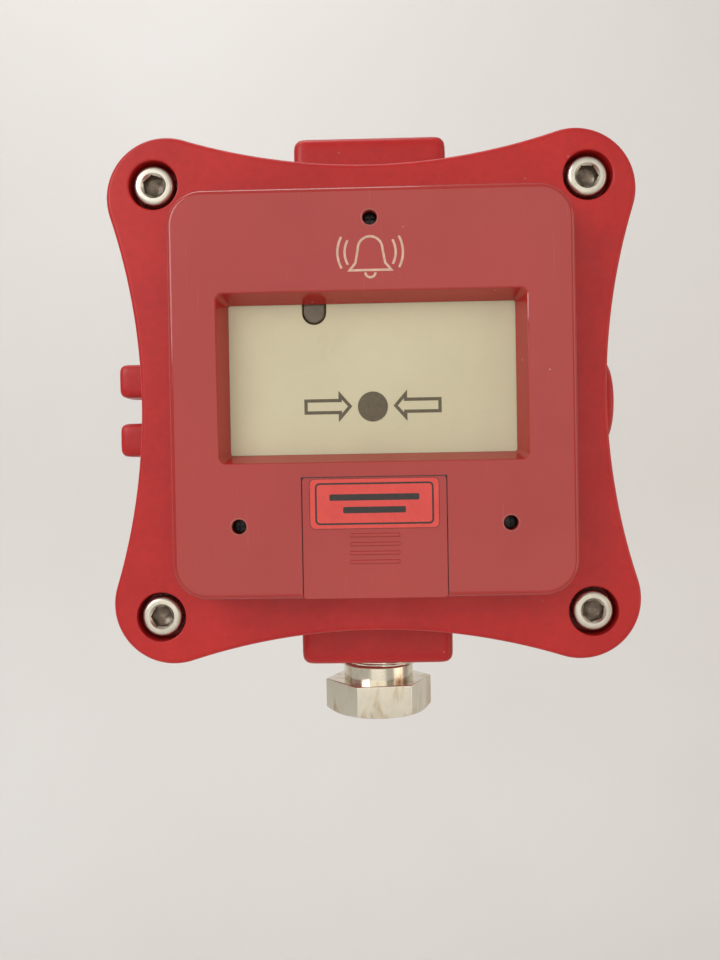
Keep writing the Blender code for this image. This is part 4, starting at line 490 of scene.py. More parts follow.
def red_cast_paint():
    skin = Skin("red_cast_paint")
    tone = skin.ramp(skin.noise(0.028, 4.0), (0.3, (0.43, 0.012, 0.012)), (0.7, (0.51, 0.018, 0.016)))
    fine = skin.ramp(skin.noise(0.0016, 3.0), (0.25, (0.9, 0.9, 0.9)), (0.75, (1.06, 1.06, 1.06)))
    tone = skin.mix(1.0, tone, fine, "MULTIPLY")
    dust = skin.level(skin.cells(0.009), 0.4, 0.0, 0.015, 0.045)
    tone = skin.mix(dust, tone, (0.62, 0.27, 0.24))
    skin.set(Base_Color=tone, Specular_IOR_Level=0.34)
    skin.set(Roughness=skin.level(skin.noise(0.009, 5.0, 0.65), 0.29, 0.42))
    skin.bump(skin.noise(0.012, 2.0), 0.00012, 0.35)
    skin.bump(skin.noise(0.0013, 2.0, 0.45), 0.00005, 0.55)
    return skin.material


def red_gloss_plastic():
    skin = Skin("red_gloss_plastic")
    tone = skin.ramp(skin.noise(0.04, 3.0), (0.3, (0.35, 0.018, 0.015)), (0.7, (0.39, 0.024, 0.019)))
    specks = skin.level(skin.cells(0.0075), 0.6, 0.0, 0.012, 0.03)
    marks = skin.scratches(0.014, 0.0004, 2, 0.74)
    tone = skin.mix(specks, tone, (0.75, 0.5, 0.46))
    tone = skin.mix(skin.maths("MULTIPLY", marks, 0.05), tone, (0.6, 0.35, 0.32))
    smudge = skin.level(skin.noise(0.017, 6.0, 0.7, warp=0.8), 0.07, 0.16, 0.35, 0.7)
    rough = skin.maths("ADD", smudge, skin.maths("MULTIPLY", marks, 0.12))
    skin.set(Base_Color=tone, Roughness=rough, Specular_IOR_Level=0.6)
    skin.bump(skin.noise(0.022, 2.0), 0.00006, 0.3)
    skin.bump(skin.noise(0.0011, 2.0, 0.5), 0.000008, 0.3)
    return skin.material


def cream_plastic():
    skin = Skin("cream_plastic")
    tone = skin.ramp(skin.noise(0.02, 5.0, 0.6), (0.3, (0.55, 0.50, 0.33)), (0.72, (0.60, 0.55, 0.37)))
    stain = skin.level(skin.noise(0.008, 6.0, 0.7, warp=1.0), 0.0, 0.35, 0.6, 0.8)
    tone = skin.mix(stain, tone, (0.5, 0.43, 0.26))
    specks = skin.level(skin.cells(0.005), 0.6, 0.0, 0.012, 0.03)
    tone = skin.mix(specks, tone, (0.33, 0.28, 0.18))
    skin.set(Base_Color=tone, Roughness=skin.level(skin.noise(0.01, 4.0), 0.32, 0.46))
    skin.set(Subsurface_Weight=0.06, Subsurface_Scale=0.0012)
    skin.bump(skin.noise(0.0007, 3.0, 0.5), 0.00002, 0.45)
    return skin.material


def plain_skin(name, grain, tones, gloss, relief, start=0.3, stretch=None, **values):
    """A material of one mottled colour with uneven gloss and a fine relief.

    grain is the mottle's (size, detail and, if it differs, roughness); tones its two colours and
    where the second is reached; gloss the (size, detail, low, high) of the surface roughness;
    relief the (size, detail, height, strength) of the bump.
    """
    skin = Skin(name)
    first, second, end = tones
    skin.set(Base_Color=skin.ramp(skin.noise(*grain), (start, first), (end, second)), **values)
    skin.set(Roughness=skin.level(skin.noise(*gloss[:2]), *gloss[2:]))
    skin.bump(skin.noise(*relief[:2], scale=stretch), *relief[2:])
    return skin.material


def printed_ink(name, colour):
    dark = tuple(c * 0.8 for c in colour)
    light = tuple(min(1.0, c * 1.22) for c in colour)
    return plain_skin(name, (0.0012, 5.0, 0.7), (dark, light, 0.72), (0.0005, 2.0, 0.38, 0.55),
                      (0.00035, 2.0, 0.00001, 0.6))


def nickel_plate():
    skin = Skin("smudged_nickel")
    tone = skin.ramp(skin.noise(0.004, 5.0, 0.6, (1.0, 1.0, 0.35), 0.5), (0.5, (0.76, 0.72, 0.6)),
                     (0.62, (0.62, 0.52, 0.38)), (0.74, (0.28, 0.17, 0.11)))
    spots = skin.level(skin.cells(0.0016), 0.5, 0.0, 0.05, 0.16)
    tone = skin.mix(skin.maths("MULTIPLY", spots, 0.35), tone, (0.3, 0.2, 0.14))
    skin.set(Base_Color=tone, Metallic=1.0)
    skin.set(Roughness=skin.level(skin.noise(0.003, 5.0, 0.7), 0.1, 0.22))
    skin.bump(skin.noise(0.00028, 2.0, scale=(1.0, 1.0, 0.08)), 0.00001, 0.4)
    skin.bump(skin.noise(0.006, 2.0), 0.00003, 0.25)
    return skin.material


def matt_plastic(name, dark, light):
    return plain_skin(name, (0.004, 4.0), (dark, light, 0.7), (0.003, 4.0, 0.4, 0.58),
                      (0.0005, 3.0, 0.00003, 0.5))


def green_board():
    skin = Skin("green_board")
    tracks = skin.level(skin.bands(0.009), 0.0, 0.5, 0.62, 0.68)
    tone = skin.ramp(skin.noise(0.006, 4.0), (0.3, (0.012, 0.13, 0.045)), (0.7, (0.022, 0.2, 0.07)))
    tone = skin.mix(tracks, tone, (0.04, 0.28, 0.1))
    skin.set(Base_Color=tone, Roughness=skin.level(skin.noise(0.002, 3.0), 0.3, 0.42))
    skin.bump(tracks, 0.00003, 0.6)
    return skin.material


def smoked_lens():
    skin = Skin("smoked_lens")
    tone = skin.ramp(skin.noise(0.003, 4.0), (0.3, (0.13, 0.1, 0.065)), (0.72, (0.2, 0.155, 0.1)))
    skin.set(Base_Color=tone, Transmission_Weight=0.25, IOR=1.49)
    skin.set(Roughness=skin.level(skin.noise(0.003, 4.0), 0.12, 0.24))
    skin.bump(skin.noise(0.0008, 2.0), 0.00002, 0.5)
    return skin.material


def red_epoxy():
    skin = Skin("red_epoxy")
    tone = skin.ramp(skin.noise(0.001, 2.0), (0.3, (0.5, 0.012, 0.012)), (0.7, (0.66, 0.02, 0.018)))
    skin.set(Base_Color=tone, Transmission_Weight=0.5, IOR=1.5)
    skin.set(Roughness=skin.level(skin.noise(0.001, 2.0), 0.08, 0.16))
    return skin.material


def stage_paper():
    skin = Skin("pale_paper")
    tone = skin.ramp(skin.noise(0.35, 3.0), (0.25, (0.74, 0.72, 0.7)), (0.75, (0.78, 0.765, 0.75)))
    skin.set(Base_Color=tone, Roughness=skin.level(skin.noise(0.05, 4.0), 0.82, 0.92))
    skin.bump(skin.noise(0.004, 4.0), 0.0002, 0.3)
    return skin.material


PAINT = red_cast_paint()
GLOSS = red_gloss_plastic()
CREAM = cream_plastic()
OLIVE_INK = printed_ink("olive_ink", (0.105, 0.082, 0.045))
BLACK_INK = printed_ink("black_ink", (0.022, 0.016, 0.014))
TAN_INK = printed_ink("tan_ink", (0.62, 0.40, 0.30))
# pale pinkish red for the rims round the access holes: a painted highlight on a real raised rim
RIM_HIGHLIGHT = printed_ink("pale_rim_painted_highlight", (0.36, 0.09, 0.075))
FILM = plain_skin("orange_red_film", (0.006, 4.0), ((0.62, 0.045, 0.038), (0.70, 0.06, 0.045), 0.7),
                  (0.004, 4.0, 0.2, 0.34), (0.0024, 2.0, 0.00003, 0.5))
NICKEL = nickel_plate()
BRIGHT = plain_skin("bright_steel", (0.0035, 5.0, 0.65), ((0.66, 0.63, 0.54), (0.5, 0.45, 0.36), 0.8),
                    (0.0016, 4.0, 0.3, 0.42), (0.0003, 2.0, 0.00001, 0.6), start=0.45, Metallic=1.0)
# dark brownish steel for the inside of the screw sockets: painted shade in the recess
SOCKET_SHADE = plain_skin("painted_socket_shade", (0.0014, 4.0), ((0.1, 0.075, 0.055), (0.26, 0.21, 0.16), 0.75),
                   (0.0009, 3.0, 0.24, 0.4), (0.0004, 2.0, 0.00002, 0.5), Metallic=0.75)
STEEL = plain_skin("plain_steel", (0.004, 4.0), ((0.5, 0.49, 0.46), (0.36, 0.34, 0.31), 0.75),
                   (0.002, 4.0, 0.28, 0.44), (0.0003, 2.0, 0.000015, 0.6),
                   stretch=(1.0, 0.15, 1.0), Metallic=1.0)
BLACK_STEEL = plain_skin("black_oxide", (0.002, 4.0), ((0.022, 0.022, 0.025), (0.06, 0.056, 0.05), 0.75),
                         (0.0015, 3.0, 0.34, 0.5), (0.0004, 2.0, 0.00002, 0.5), Metallic=0.8)
BRASS = plain_skin("machined_brass", (0.005, 4.0), ((0.72, 0.52, 0.23), (0.55, 0.37, 0.15), 0.75),
                   (0.002, 3.0, 0.22, 0.38), (0.0003, 2.0, 0.000012, 0.6), Metallic=1.0)
BLACK = matt_plastic("black_moulding", (0.014, 0.014, 0.015), (0.03, 0.029, 0.028))
IVORY = matt_plastic("ivory_moulding", (0.5, 0.45, 0.33), (0.6, 0.55, 0.42))
TERMINAL = matt_plastic("green_moulding", (0.035, 0.24, 0.09), (0.06, 0.34, 0.14))
RUBBER = plain_skin("black_rubber", (0.003, 4.0), ((0.014, 0.014, 0.014), (0.035, 0.033, 0.031), 0.75),
                    (0.002, 3.0, 0.62, 0.82), (0.0004, 3.0, 0.00004, 0.6))
BOARD = green_board()
LENS = smoked_lens()
LED = red_epoxy()


def dressed(piece, material, body, replaces=(), degrees=32.0, weighted=True):
    """Gives a piece its material, shading and body, and hides the CAD nodes it stands for."""
    piece.data.materials.clear()
    piece.data.materials.append(material)
    piece.data.shade_smooth()
    piece.data.set_sharp_from_angle(angle=math.radians(degrees))
    if weighted:
        even = piece.modifiers.new("even_shading", "WEIGHTED_NORMAL")
        even.keep_sharp = True
        even.weight = 80
    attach(piece, body)
    if replaces:
        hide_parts(*replaces)
    return piece


# ---- housing


def screw_places():
    """The four lid screws by name, each with its (x, z)."""
    return {
        f"{level}_{side}": (x * SCREW_REACH, z * SCREW_REACH)
        for level, z in (("top", 1), ("bottom", -1))
        for side, x in (("left", -1), ("right", 1))
    }


def cast_outside():
    """The body's outside as one casting with soft fillets where its shapes meet."""
    shapes = [
        plate("flange", [lobed(FLANGE_INSET)], FLANGE_FACE - 2 * OVER, FLANGE_FACE + FLANGE_THICKNESS),
        soften(
            plate("tub", [round_box(TUB_HALF, TUB_HALF, TUB_CORNER)], FLANGE_FACE + 2 * OVER, 0.0),
            3.0 * MM, 5, at_depth(0.0),
        ),
    ]
    for name, (x, z) in screw_places().items():
        profile = [(0, BOSS_DEPTH), (BOSS_RADIUS - 3.4 * MM, BOSS_DEPTH),
                   (BOSS_RADIUS - 1.4 * MM, BOSS_DEPTH - MM), (BOSS_RADIUS, BOSS_DEPTH - 3.5 * MM),
                   (BOSS_RADIUS, 0), (0, 0)]
        shapes.append(lathe("boss_" + name, profile, (x, FLANGE_FACE + OVER, z), (0, 1, 0)))
    root = CAVITY_HALF + OVER
    for side in (1, -1):
        ends = sorted((side * root, side * HUB_REACH))
        low = (-HUB_HALF, HUB_FRONT, ends[0])
        high = (HUB_HALF, HUB_BACK, ends[1])
        shapes.append(block("hub", low, high, HUB_EDGE, 4))
        levels = sorted((side * LUG_SLOT / 2, side * (LUG_SLOT / 2 + LUG_HEIGHT)))
        low = (-LUG_REACH, LUG_FRONT, levels[0])
        high = (-root, LUG_FRONT + LUG_DEPTH, levels[1])
        shapes.append(block("lug", low, high, 1.7 * MM, 4))
    edge = 1.6 * MM
    radius = SIDE_BOSS_RADIUS
    profile = [(0, BOSS_REACH), (radius - edge, BOSS_REACH), (radius - 0.45 * edge, BOSS_REACH - 0.2 * edge),
               (radius, BOSS_REACH - edge), (radius + 0.6 * MM, root), (0, root)]
    shapes.append(lathe("side_boss", profile, (0, ENTRY_Y, 0), (1, 0, 0)))
    half = 6.5 * MM
    low = (EARTH_X - half, ENTRY_Y - half, -TUB_HALF - 3.0 * MM)
    high = (EARTH_X + half, ENTRY_Y + half, -TUB_HALF + 2 * MM)
    shapes.append(block("earth_pad", low, high, 0.9 * MM, 3))
    casting = heap("body_casting", *shapes)
    skin = casting.modifiers.new("one_skin", "REMESH")
    skin.mode = "VOXEL"
    skin.voxel_size = 0.85 * MM
    soft = casting.modifiers.new("fillets", "SMOOTH")
    soft.factor = 0.5
    soft.iterations = 5
    applied(casting)
    for vertex in casting.data.vertices:  # the fillets may not swell past the casting's box
        spot = vertex.co
        spot.x = min(max(spot.x, BODY_LOW.x), BODY_HIGH.x)
        spot.y = min(spot.y, 0.0)
        spot.z = min(max(spot.z, BODY_LOW.z), BODY_HIGH.z)
    return casting


def entry_cutter(side):
    """Threaded entry, its chamfered mouth and the narrower passage through one hub."""
    end = HUB_REACH + OVER
    depth = end - SHOULDER
    passage = end - CAVITY_HALF + OVER
    turns = [(0, 0), (BORE_RADIUS + 0.8 * MM + OVER, 0), (BORE_RADIUS, OVER + 0.8 * MM)]
    at = OVER + 1.2 * MM
    while at < depth - 2 * THREAD_PITCH:
        turns += [(BORE_RADIUS, at), (BORE_RADIUS + 0.75 * MM, at + THREAD_PITCH / 2)]
        at += THREAD_PITCH
    turns += [(BORE_RADIUS, at), (BORE_RADIUS, depth), (PASSAGE_RADIUS, depth),
              (PASSAGE_RADIUS, passage), (0, passage)]
    return lathe("entry", turns, (0, ENTRY_Y, side * end), (0, 0, -side), 64)


def body_hollow():
    """The space inside the body, less the pillars and bosses that stand in it."""
    floor = -WALL
    outline = round_box(CAVITY_HALF, CAVITY_HALF, CAVITY_CORNER)
    hollow = plate("hollow", [outline], FLANGE_FACE - 3 * OVER, floor)
    soften(hollow, 1.5 * MM, 3, at_depth(floor))
    stands = []
    for x, z in CORNERS:
        stands.append(pin("pillar", 4 * MM, (x * PILLAR_X, z * PILLAR_Z), floor - 13 * MM, OVER, 28))
        stands.append(pin("wall_boss", 6 * MM, (x * WALL_SCREW, z * WALL_SCREW), floor - 8 * MM, OVER, 28))
    stands.append(pin("earth_boss", 5 * MM, INNER_EARTH, floor - 5 * MM, OVER, 28))
    return cut(hollow, *stands)


def body_holes():
    """Every hole that opens the casting's walls, as one list of cutters."""
    holes = [entry_cutter(1), entry_cutter(-1)]
    holes.append(block("face", (-0.1, FLANGE_FACE - 5 * OVER, -0.1), (0.1, FLANGE_FACE, 0.1)))
    outlines = [round_box(half, half, CAVITY_CORNER + half - CAVITY_HALF)
                for half in (GROOVE_REACH, GROOVE_REACH - GROOVE_WIDTH)]
    holes.append(plate("seal_groove", outlines, FLANGE_FACE - OVER, FLANGE_FACE + GROOVE_DEPTH))
    for place in screw_places().values():
        holes.append(pin("screw_hole", 3.3 * MM, place, FLANGE_FACE - OVER, -34.0 * MM, 32))
    for x, z in CORNERS:
        profile = [(0, 0), (3.9 * MM, 0), (2.5 * MM, OVER + 0.5 * MM), (2.5 * MM, 9 * MM), (0, 10.4 * MM)]
        holes.append(lathe("wall_hole", profile, (x * WALL_SCREW, OVER, z * WALL_SCREW), (0, -1, 0), 40))
        holes.append(pin("board_hole", 1.8 * MM, (x * PILLAR_X, z * PILLAR_Z), -19 * MM, -11 * MM, 24))
    holes.append(pin("inner_earth_hole", EARTH_SCREW_HOLE, INNER_EARTH, -11 * MM, -4.1 * MM, 24))
    pad = -TUB_HALF - 3 * MM
    spot = (EARTH_X, ENTRY_Y)
    holes.append(rod("outer_earth_hole", EARTH_SCREW_HOLE, (*spot, pad - OVER), (*spot, pad + 5.9 * MM), 28))
    reach = LUG_SLOT / 2 + LUG_HEIGHT + OVER
    spot = (-LUG_REACH + 6 * MM, LUG_FRONT + LUG_DEPTH / 2)
    holes.append(rod("lug_hole", 1.6 * MM, (*spot, -reach), (*spot, reach), 28))
    return holes


def make_body():
    body = cast_outside()
    cut(body, body_hollow(), *body_holes())
    dressed(body, PAINT, "housing", ["body_shell"], 38.0)


def make_lid():
    lid = plate("lid_casting", [lobed()], LID_FRONT, LID_BACK)
    soften(lid, LID_EDGE, 5, at_depth(LID_FRONT))
    soften(lid, 0.35 * MM, 2, at_depth(LID_BACK))
    spigot = plate("spigot", [round_box(SPIGOT_HALF, SPIGOT_HALF, CAVITY_CORNER - 0.3 * MM)],
                   LID_BACK - OVER, LID_BACK + 6 * MM)
    join(lid, spigot)
    inner = SPIGOT_HALF - 4.5 * MM
    tools = [plate("rear_pocket", [round_box(inner, inner, CAVITY_CORNER - 4.8 * MM)],
                   LID_FRONT + 10 * MM, LID_BACK + 7 * MM)]
    pocket = round_box(WINDOW_HALF[0], WINDOW_HALF[1] + 4 * MM, 4 * MM, (0, WINDOW_Z))
    tools.append(plate("front_pocket", [pocket], LID_FRONT - OVER, LID_FRONT + 5 * MM))
    tools.append(pin("jack_pocket", 5.5 * MM, (0, -30.5 * MM), LID_FRONT - OVER, LID_FRONT + 5.3 * MM, 32))
    tools.append(pin("bush_hole", 6.8 * MM, (0, WINDOW_Z), LID_FRONT, LID_FRONT + 11 * MM, 40))
    flare, bore, hole = 0.45 * MM, COUNTERBORE_RADIUS, 3.4 * MM
    for x, z in screw_places().values():
        profile = [(0, -OVER), (bore + flare, -OVER), (bore + flare, 0),
                   (bore + 0.3 * flare, 0.3 * flare), (bore, flare), (bore, COUNTERBORE_DEPTH),
                   (hole, COUNTERBORE_DEPTH), (hole, LID_THICKNESS + OVER), (0, LID_THICKNESS + OVER)]
        tools.append(lathe("counterbore", profile, (x, LID_FRONT, z), (0, 1, 0), 72))
    for place in ACCESS_HOLES.values():
        tools.append(pin("base_screw_hole", 1.8 * MM, place, LID_FRONT - OVER, LID_FRONT + 5.3 * MM, 24))
    cut(lid, *tools)
    dressed(lid, PAINT, "housing", ["lid"], 34.0)


def make_seal():
    outer = SEAL_HIGH.x
    corner = CAVITY_CORNER + 4.4 * MM
    width = 2.4 * MM
    rings = [round_box(outer, outer, corner), round_box(outer - width, outer - width, corner - width)]
    seal = plate("lid_seal_ring", rings, SEAL_LOW.y, SEAL_HIGH.y)
    soften(seal, 0.4 * MM, 3, lambda corner: True)
    dressed(seal, RUBBER, "housing", ["lid_seal"])


# ---- screws


def make_lid_screws():
    """Socket head screws with a knurled head, a chamfered socket and a thread; the faces inside the socket
    take a darker steel as painted shade.
    """
    radius, height, length = 5.0 * MM, 6.0 * MM, 18.0 * MM
    shank, root, half_flat = 3.0 * MM, 2.5 * MM, 2.5 * MM
    for name, (x, z) in screw_places().items():
        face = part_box("lid_screw_" + name)[0].y
        profile = [(0, 0), (radius - 1.15 * MM, 0), (radius - 0.75 * MM, 0.06 * MM),
                   (radius - 0.35 * MM, 0.3 * MM), (radius - 0.1 * MM, 0.65 * MM), (radius, 1.0 * MM)]
        profile += [(radius, height - 0.3 * MM), (radius - 0.3 * MM, height), (shank, height)]
        at = height + 1.0 * MM
        while at < height + length - 1.2 * MM:
            profile += [(shank, at), (root, at + 0.5 * MM)]
            at += 1.0 * MM
        profile += [(shank, at), (root + 0.1 * MM, height + length), (0, height + length)]
        screw = lathe("cap_screw_" + name, profile, (x, face, z), (0, 1, 0), 144)
        knurl = bmesh.new()
        knurl.from_mesh(screw.data)
        for corner in knurl.verts:
            away = Vector((corner.co.x - x, 0.0, corner.co.z - z))
            on_side = face + 0.9 * MM < corner.co.y < face + height - 0.2 * MM
            if on_side and away.length > radius - 0.02 * MM:
                wave = math.cos(48 * math.atan2(away.z, away.x))
                corner.co -= away.normalized() * 0.09 * MM * (1 - wave)
        knurl.to_mesh(screw.data)
        knurl.free()
        key = half_flat / math.cos(math.pi / 6)
        turn = 0.35 * (x + 2 * z) / SCREW_REACH
        socket = pin("socket", key, (x, z), face - OVER, face + 3.0 * MM, 6, turn)
        profile = [(0, -OVER), (key + 0.3 * MM + OVER, -OVER), (key - 0.25 * MM, 0.55 * MM), (0, 0.55 * MM)]
        mouth = lathe("mouth", profile, (x, face, z), (0, 1, 0), 48)
        point = lathe("point", [(0, 2.5 * MM), (half_flat * 0.98, 2.9 * MM), (0, 4.2 * MM)],
                      (x, face, z), (0, 1, 0), 48)
        cut(screw, socket, mouth, point)
        dressed(screw, BRIGHT, "housing", ["lid_screw_" + name], 28.0)
        # the socket's inner faces get the darker steel: painted shade in the recess
        screw.data.materials.append(SOCKET_SHADE)
        for side in screw.data.polygons:
            away = math.hypot(side.center.x - x, side.center.z - z)
            if away < key and face + 0.4 * MM < side.center.y < face + 4.5 * MM:
                side.material_index = 1


def make_base_screws():
    """Cross-slot screws that sit at the bottom of the cover's access holes."""
    for name, (x, z) in ACCESS_HOLES.items():
        low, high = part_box("base_screw_" + name)
        length = high.y - low.y
        head, under, shank = 2.8 * MM, 2.2 * MM, 1.5 * MM
        profile = [(0, 0), (1.1 * MM, 0.08 * MM), (2.1 * MM, 0.4 * MM), (2.7 * MM, 1.0 * MM),
                   (head, 1.5 * MM), (head, under), (shank, under), (shank, length), (0, length)]
        screw = lathe("cross_screw_" + name, profile, (x, low.y, z), (0, 1, 0), 48)
        slots = [
            block("slot", (x - a, low.y - OVER, z - b), (x + a, low.y + 1.2 * MM, z + b))
            for a, b in ((1.3 * MM, 0.3 * MM), (0.3 * MM, 1.3 * MM))
        ]
        cut(screw, *slots)
        dressed(screw, BLACK_STEEL, "housing", ["base_screw_" + name])


# ---- front unit


def window_cutter():
    """The window's leaning walls, with the front edge eased outwards."""
    shape = bmesh.new()
    ease = 0.45 * MM
    middle = (0.0, WINDOW_Z)
    stations = [(-OVER, ease), (0.0, ease), (0.14 * MM, 0.3 * ease), (ease, -0.05 * MM)]
    stations.append((WINDOW_DEPTH + OVER, -WINDOW_LEAN * (WINDOW_DEPTH + OVER) / WINDOW_DEPTH))
    rows = []
    for depth, grow in stations:
        outline = round_box(WINDOW_HALF[0] + grow, WINDOW_HALF[1] + grow, WINDOW_CORNER + grow * 0.5, middle)
        rows.append([shape.verts.new((x, COVER_FRONT + depth, z)) for x, z in outline])
    skin_rows(shape, rows)
    shape.faces.new(rows[0])
    shape.faces.new(rows[-1][::-1])
    return from_shape("window_cutter", shape)


def hole_cutter(place, radius, depth):
    """A drilled hole whose mouth is slightly crushed outwards."""
    profile = [(0, -OVER), (radius + 0.22 * MM, -OVER), (radius + 0.22 * MM, 0), (radius, 0.25 * MM),
               (radius, depth), (0, depth)]
    return lathe("hole", profile, (place[0], COVER_FRONT, place[1]), (0, 1, 0), 40)


def make_cover():
    half_w = COVER_HIGH.x
    half_h = (COVER_HIGH.z - COVER_LOW.z) / 2
    centre = (0.0, (COVER_HIGH.z + COVER_LOW.z) / 2)
    outline = round_box(half_w, half_h, COVER_CORNER, centre, 24)
    cover = plate("front_moulding", [outline], COVER_FRONT, COVER_BACK)
    soften(cover, COVER_EDGE, 6, at_depth(COVER_FRONT))
    inside = round_box(half_w - COVER_WALL, half_h - COVER_WALL, COVER_CORNER - COVER_WALL, centre, 16)
    cut(cover, plate("inside", [inside], COVER_FRONT + COVER_WALL, COVER_BACK + OVER))
    skirt = round_box(WINDOW_HALF[0] + SKIRT_WALL, WINDOW_HALF[1] + SKIRT_WALL,
                      WINDOW_CORNER + SKIRT_WALL, (0, WINDOW_Z))
    join(cover, plate("skirt", [skirt], COVER_FRONT + COVER_WALL - OVER, COVER_FRONT + WINDOW_DEPTH))
    gap = 0.25 * MM
    low, high = COVER_LOW.z - OVER, LABEL_HIGH.z + 0.6 * MM
    ease = 0.35 * MM
    slot = block("door_slot", (-DOOR_HALF - gap, COVER_FRONT - OVER, low),
                 (DOOR_HALF + gap, COVER_FRONT + COVER_WALL + OVER, high))
    side, top = DOOR_HALF + gap + ease, high + ease
    mouth = plate("door_mouth", [[(-side, low), (side, low), (side, top), (-side, top)]],
                  COVER_FRONT - ease, COVER_FRONT + ease)
    for vertex in mouth.data.vertices:
        if vertex.co.y > COVER_FRONT:
            vertex.co.x -= math.copysign(2 * ease, vertex.co.x)
            if vertex.co.z > 0.5 * (low + high):
                vertex.co.z -= 2 * ease
    back = DOOR_HALF + gap + 2 * MM
    track = block("flange_slot", (-back, COVER_FRONT + COVER_WALL - 0.15 * MM, low),
                  (back, COVER_FRONT + COVER_WALL + 1.8 * MM, COVER_LOW.z + COVER_WALL + OVER))
    holes = [hole_cutter(place, ACCESS_RADIUS, COVER_WALL + OVER) for place in ACCESS_HOLES.values()]
    cut(cover, window_cutter(), slot, mouth, track, *holes)
    dressed(cover, GLOSS, "housing", ["front_cover"], 30.0)
    for name, place in ACCESS_HOLES.items():
        make_burr(name, place)


def make_burr(name, place):
    """The raised rim that the drill left round an access hole; its pale colour is a painted highlight."""
    inner, outer, rise = ACCESS_RADIUS + 0.08 * MM, ACCESS_RADIUS + 0.42 * MM, 0.1 * MM
    shape = bmesh.new()
    steps = 72
    seed = 10 * (place[0] + place[1]) / MM
    rows = [[] for _ in range(5)]
    for step in range(steps):
        angle = math.tau * step / steps
        wobble = 0.13 * math.sin(3 * angle + seed) + 0.08 * math.sin(7 * angle - seed)
        wobble += 0.06 * math.sin(13 * angle + 2 * seed)
        reach = outer + (outer - inner) * 0.8 * wobble
        lift = rise * (0.75 + wobble * 1.3)
        section = [(inner, 0.06 * MM), (inner + 0.05 * MM, -lift * 0.8), ((inner + reach) / 2, -lift),
                   (reach, 0.0), (reach, 0.06 * MM)]
        for row, (radius, depth) in zip(rows, section):
            x, z = place[0] + radius * math.cos(angle), place[1] + radius * math.sin(angle)
            row.append(shape.verts.new((x, COVER_FRONT + depth, z)))
    skin_rows(shape, rows + rows[:1])
    burr = from_shape("hole_burr_" + name, shape)
    # the rim's pale colour is a painted highlight
    dressed(burr, RIM_HIGHLIGHT, "housing", weighted=False, degrees=60.0)


def make_base():
    base = NODES["unit_base"]
    base.data.materials[0] = BLACK
    edge = base.modifiers.new("edge", "BEVEL")
    edge.width = 0.15 * MM
    edge.limit_method = "ANGLE"


def notch(radius, bottom, top):
    """A slot's outline with a round lower end."""
    lower = arc((NOTCH_X, bottom + radius), radius, math.pi, math.tau, 20)
    return lower + [(NOTCH_X + radius, top), (NOTCH_X - radius, top)]


def make_panel():
    middle = (0.0, WINDOW_Z)
    panel = plate("cream_panel", [round_box(*PANEL_HALF, WINDOW_CORNER, middle)],
                  PANEL_FRONT, PANEL_FRONT + PANEL_THICKNESS)
    cut(panel, plate("notch", [notch(NOTCH_RADIUS, NOTCH_BOTTOM, PANEL_HIGH.z + OVER)],
                     PANEL_FRONT - OVER, PANEL_FRONT + PANEL_THICKNESS + OVER))
    soften(panel, 0.25 * MM, 3, at_depth(PANEL_FRONT))
    back = PANEL_FRONT + PANEL_THICKNESS
    join(panel, pin("pad", 4.6 * MM, middle, back - OVER, back + 3.7 * MM, 48))
    lugs = []
    for side in (-1, 1):
        x = side * (WINDOW_HALF[0] - 9.5 * MM)
        lugs.append(block("lug", (x - MM, back - OVER, WINDOW_Z - 3 * MM),
                          (x + MM, PANEL_HIGH.y, WINDOW_Z + 3 * MM), 0.2 * MM))
    join(panel, *lugs)
    dressed(panel, CREAM, "panel", ["press_panel"])
    make_panel_signs()


def make_panel_signs():
    """The two outlined arrows and the round spot between them, printed on the panel."""
    face, ink = PANEL_FRONT - 0.03 * MM, 0.06 * MM
    height = -2.5 * MM
    line = 0.8 * MM
    tail, neck, tip = 16.2 * MM, 7.9 * MM, 5.5 * MM
    shaft, head = 1.45 * MM, 2.75 * MM
    for name, side in (("left", -1), ("right", 1)):
        corners = [(tail, shaft), (neck, shaft), (neck, head), (tip, 0), (neck, -head), (neck, -shaft),
                   (tail, -shaft)]
        points = [(side * x, height + z) for x, z in corners]
        arrow = plate("printed_arrow_" + name, ribbon(points, line, closed=True), face, face + ink)
        dressed(arrow, OLIVE_INK, "panel")
    spot = pin("printed_spot", 3.62 * MM, (0, -2.65 * MM), face, face + ink, 96)
    dressed(spot, OLIVE_INK, "panel")


def make_lens():
    low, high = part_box("indicator_lens")
    lens = plate("indicator_window", [notch(NOTCH_RADIUS - 0.18 * MM, low.z, high.z)], low.y, high.y)
    soften(lens, 0.6 * MM, 4, at_depth(low.y))
    dressed(lens, LENS, "housing", ["indicator_lens"])
    led_low, led_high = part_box("alarm_led")
    x, z = (led_low.x + led_high.x) / 2, (led_low.z + led_high.z) / 2
    radius, collar = 1.5 * MM, 1.8 * MM
    profile = [(0, 0)]
    profile += [(radius * math.sin(a), radius * (1 - math.cos(a)))
                for a in (step * math.pi / 16 for step in range(1, 9))]
    length = led_high.y - led_low.y
    profile += [(radius, length - 0.8 * MM), (collar, length - 0.8 * MM), (collar, length), (0, length)]
    led = lathe("alarm_lamp", profile, (x, led_low.y, z), (0, 1, 0), 40)
    dressed(led, LED, "housing", ["alarm_led"])


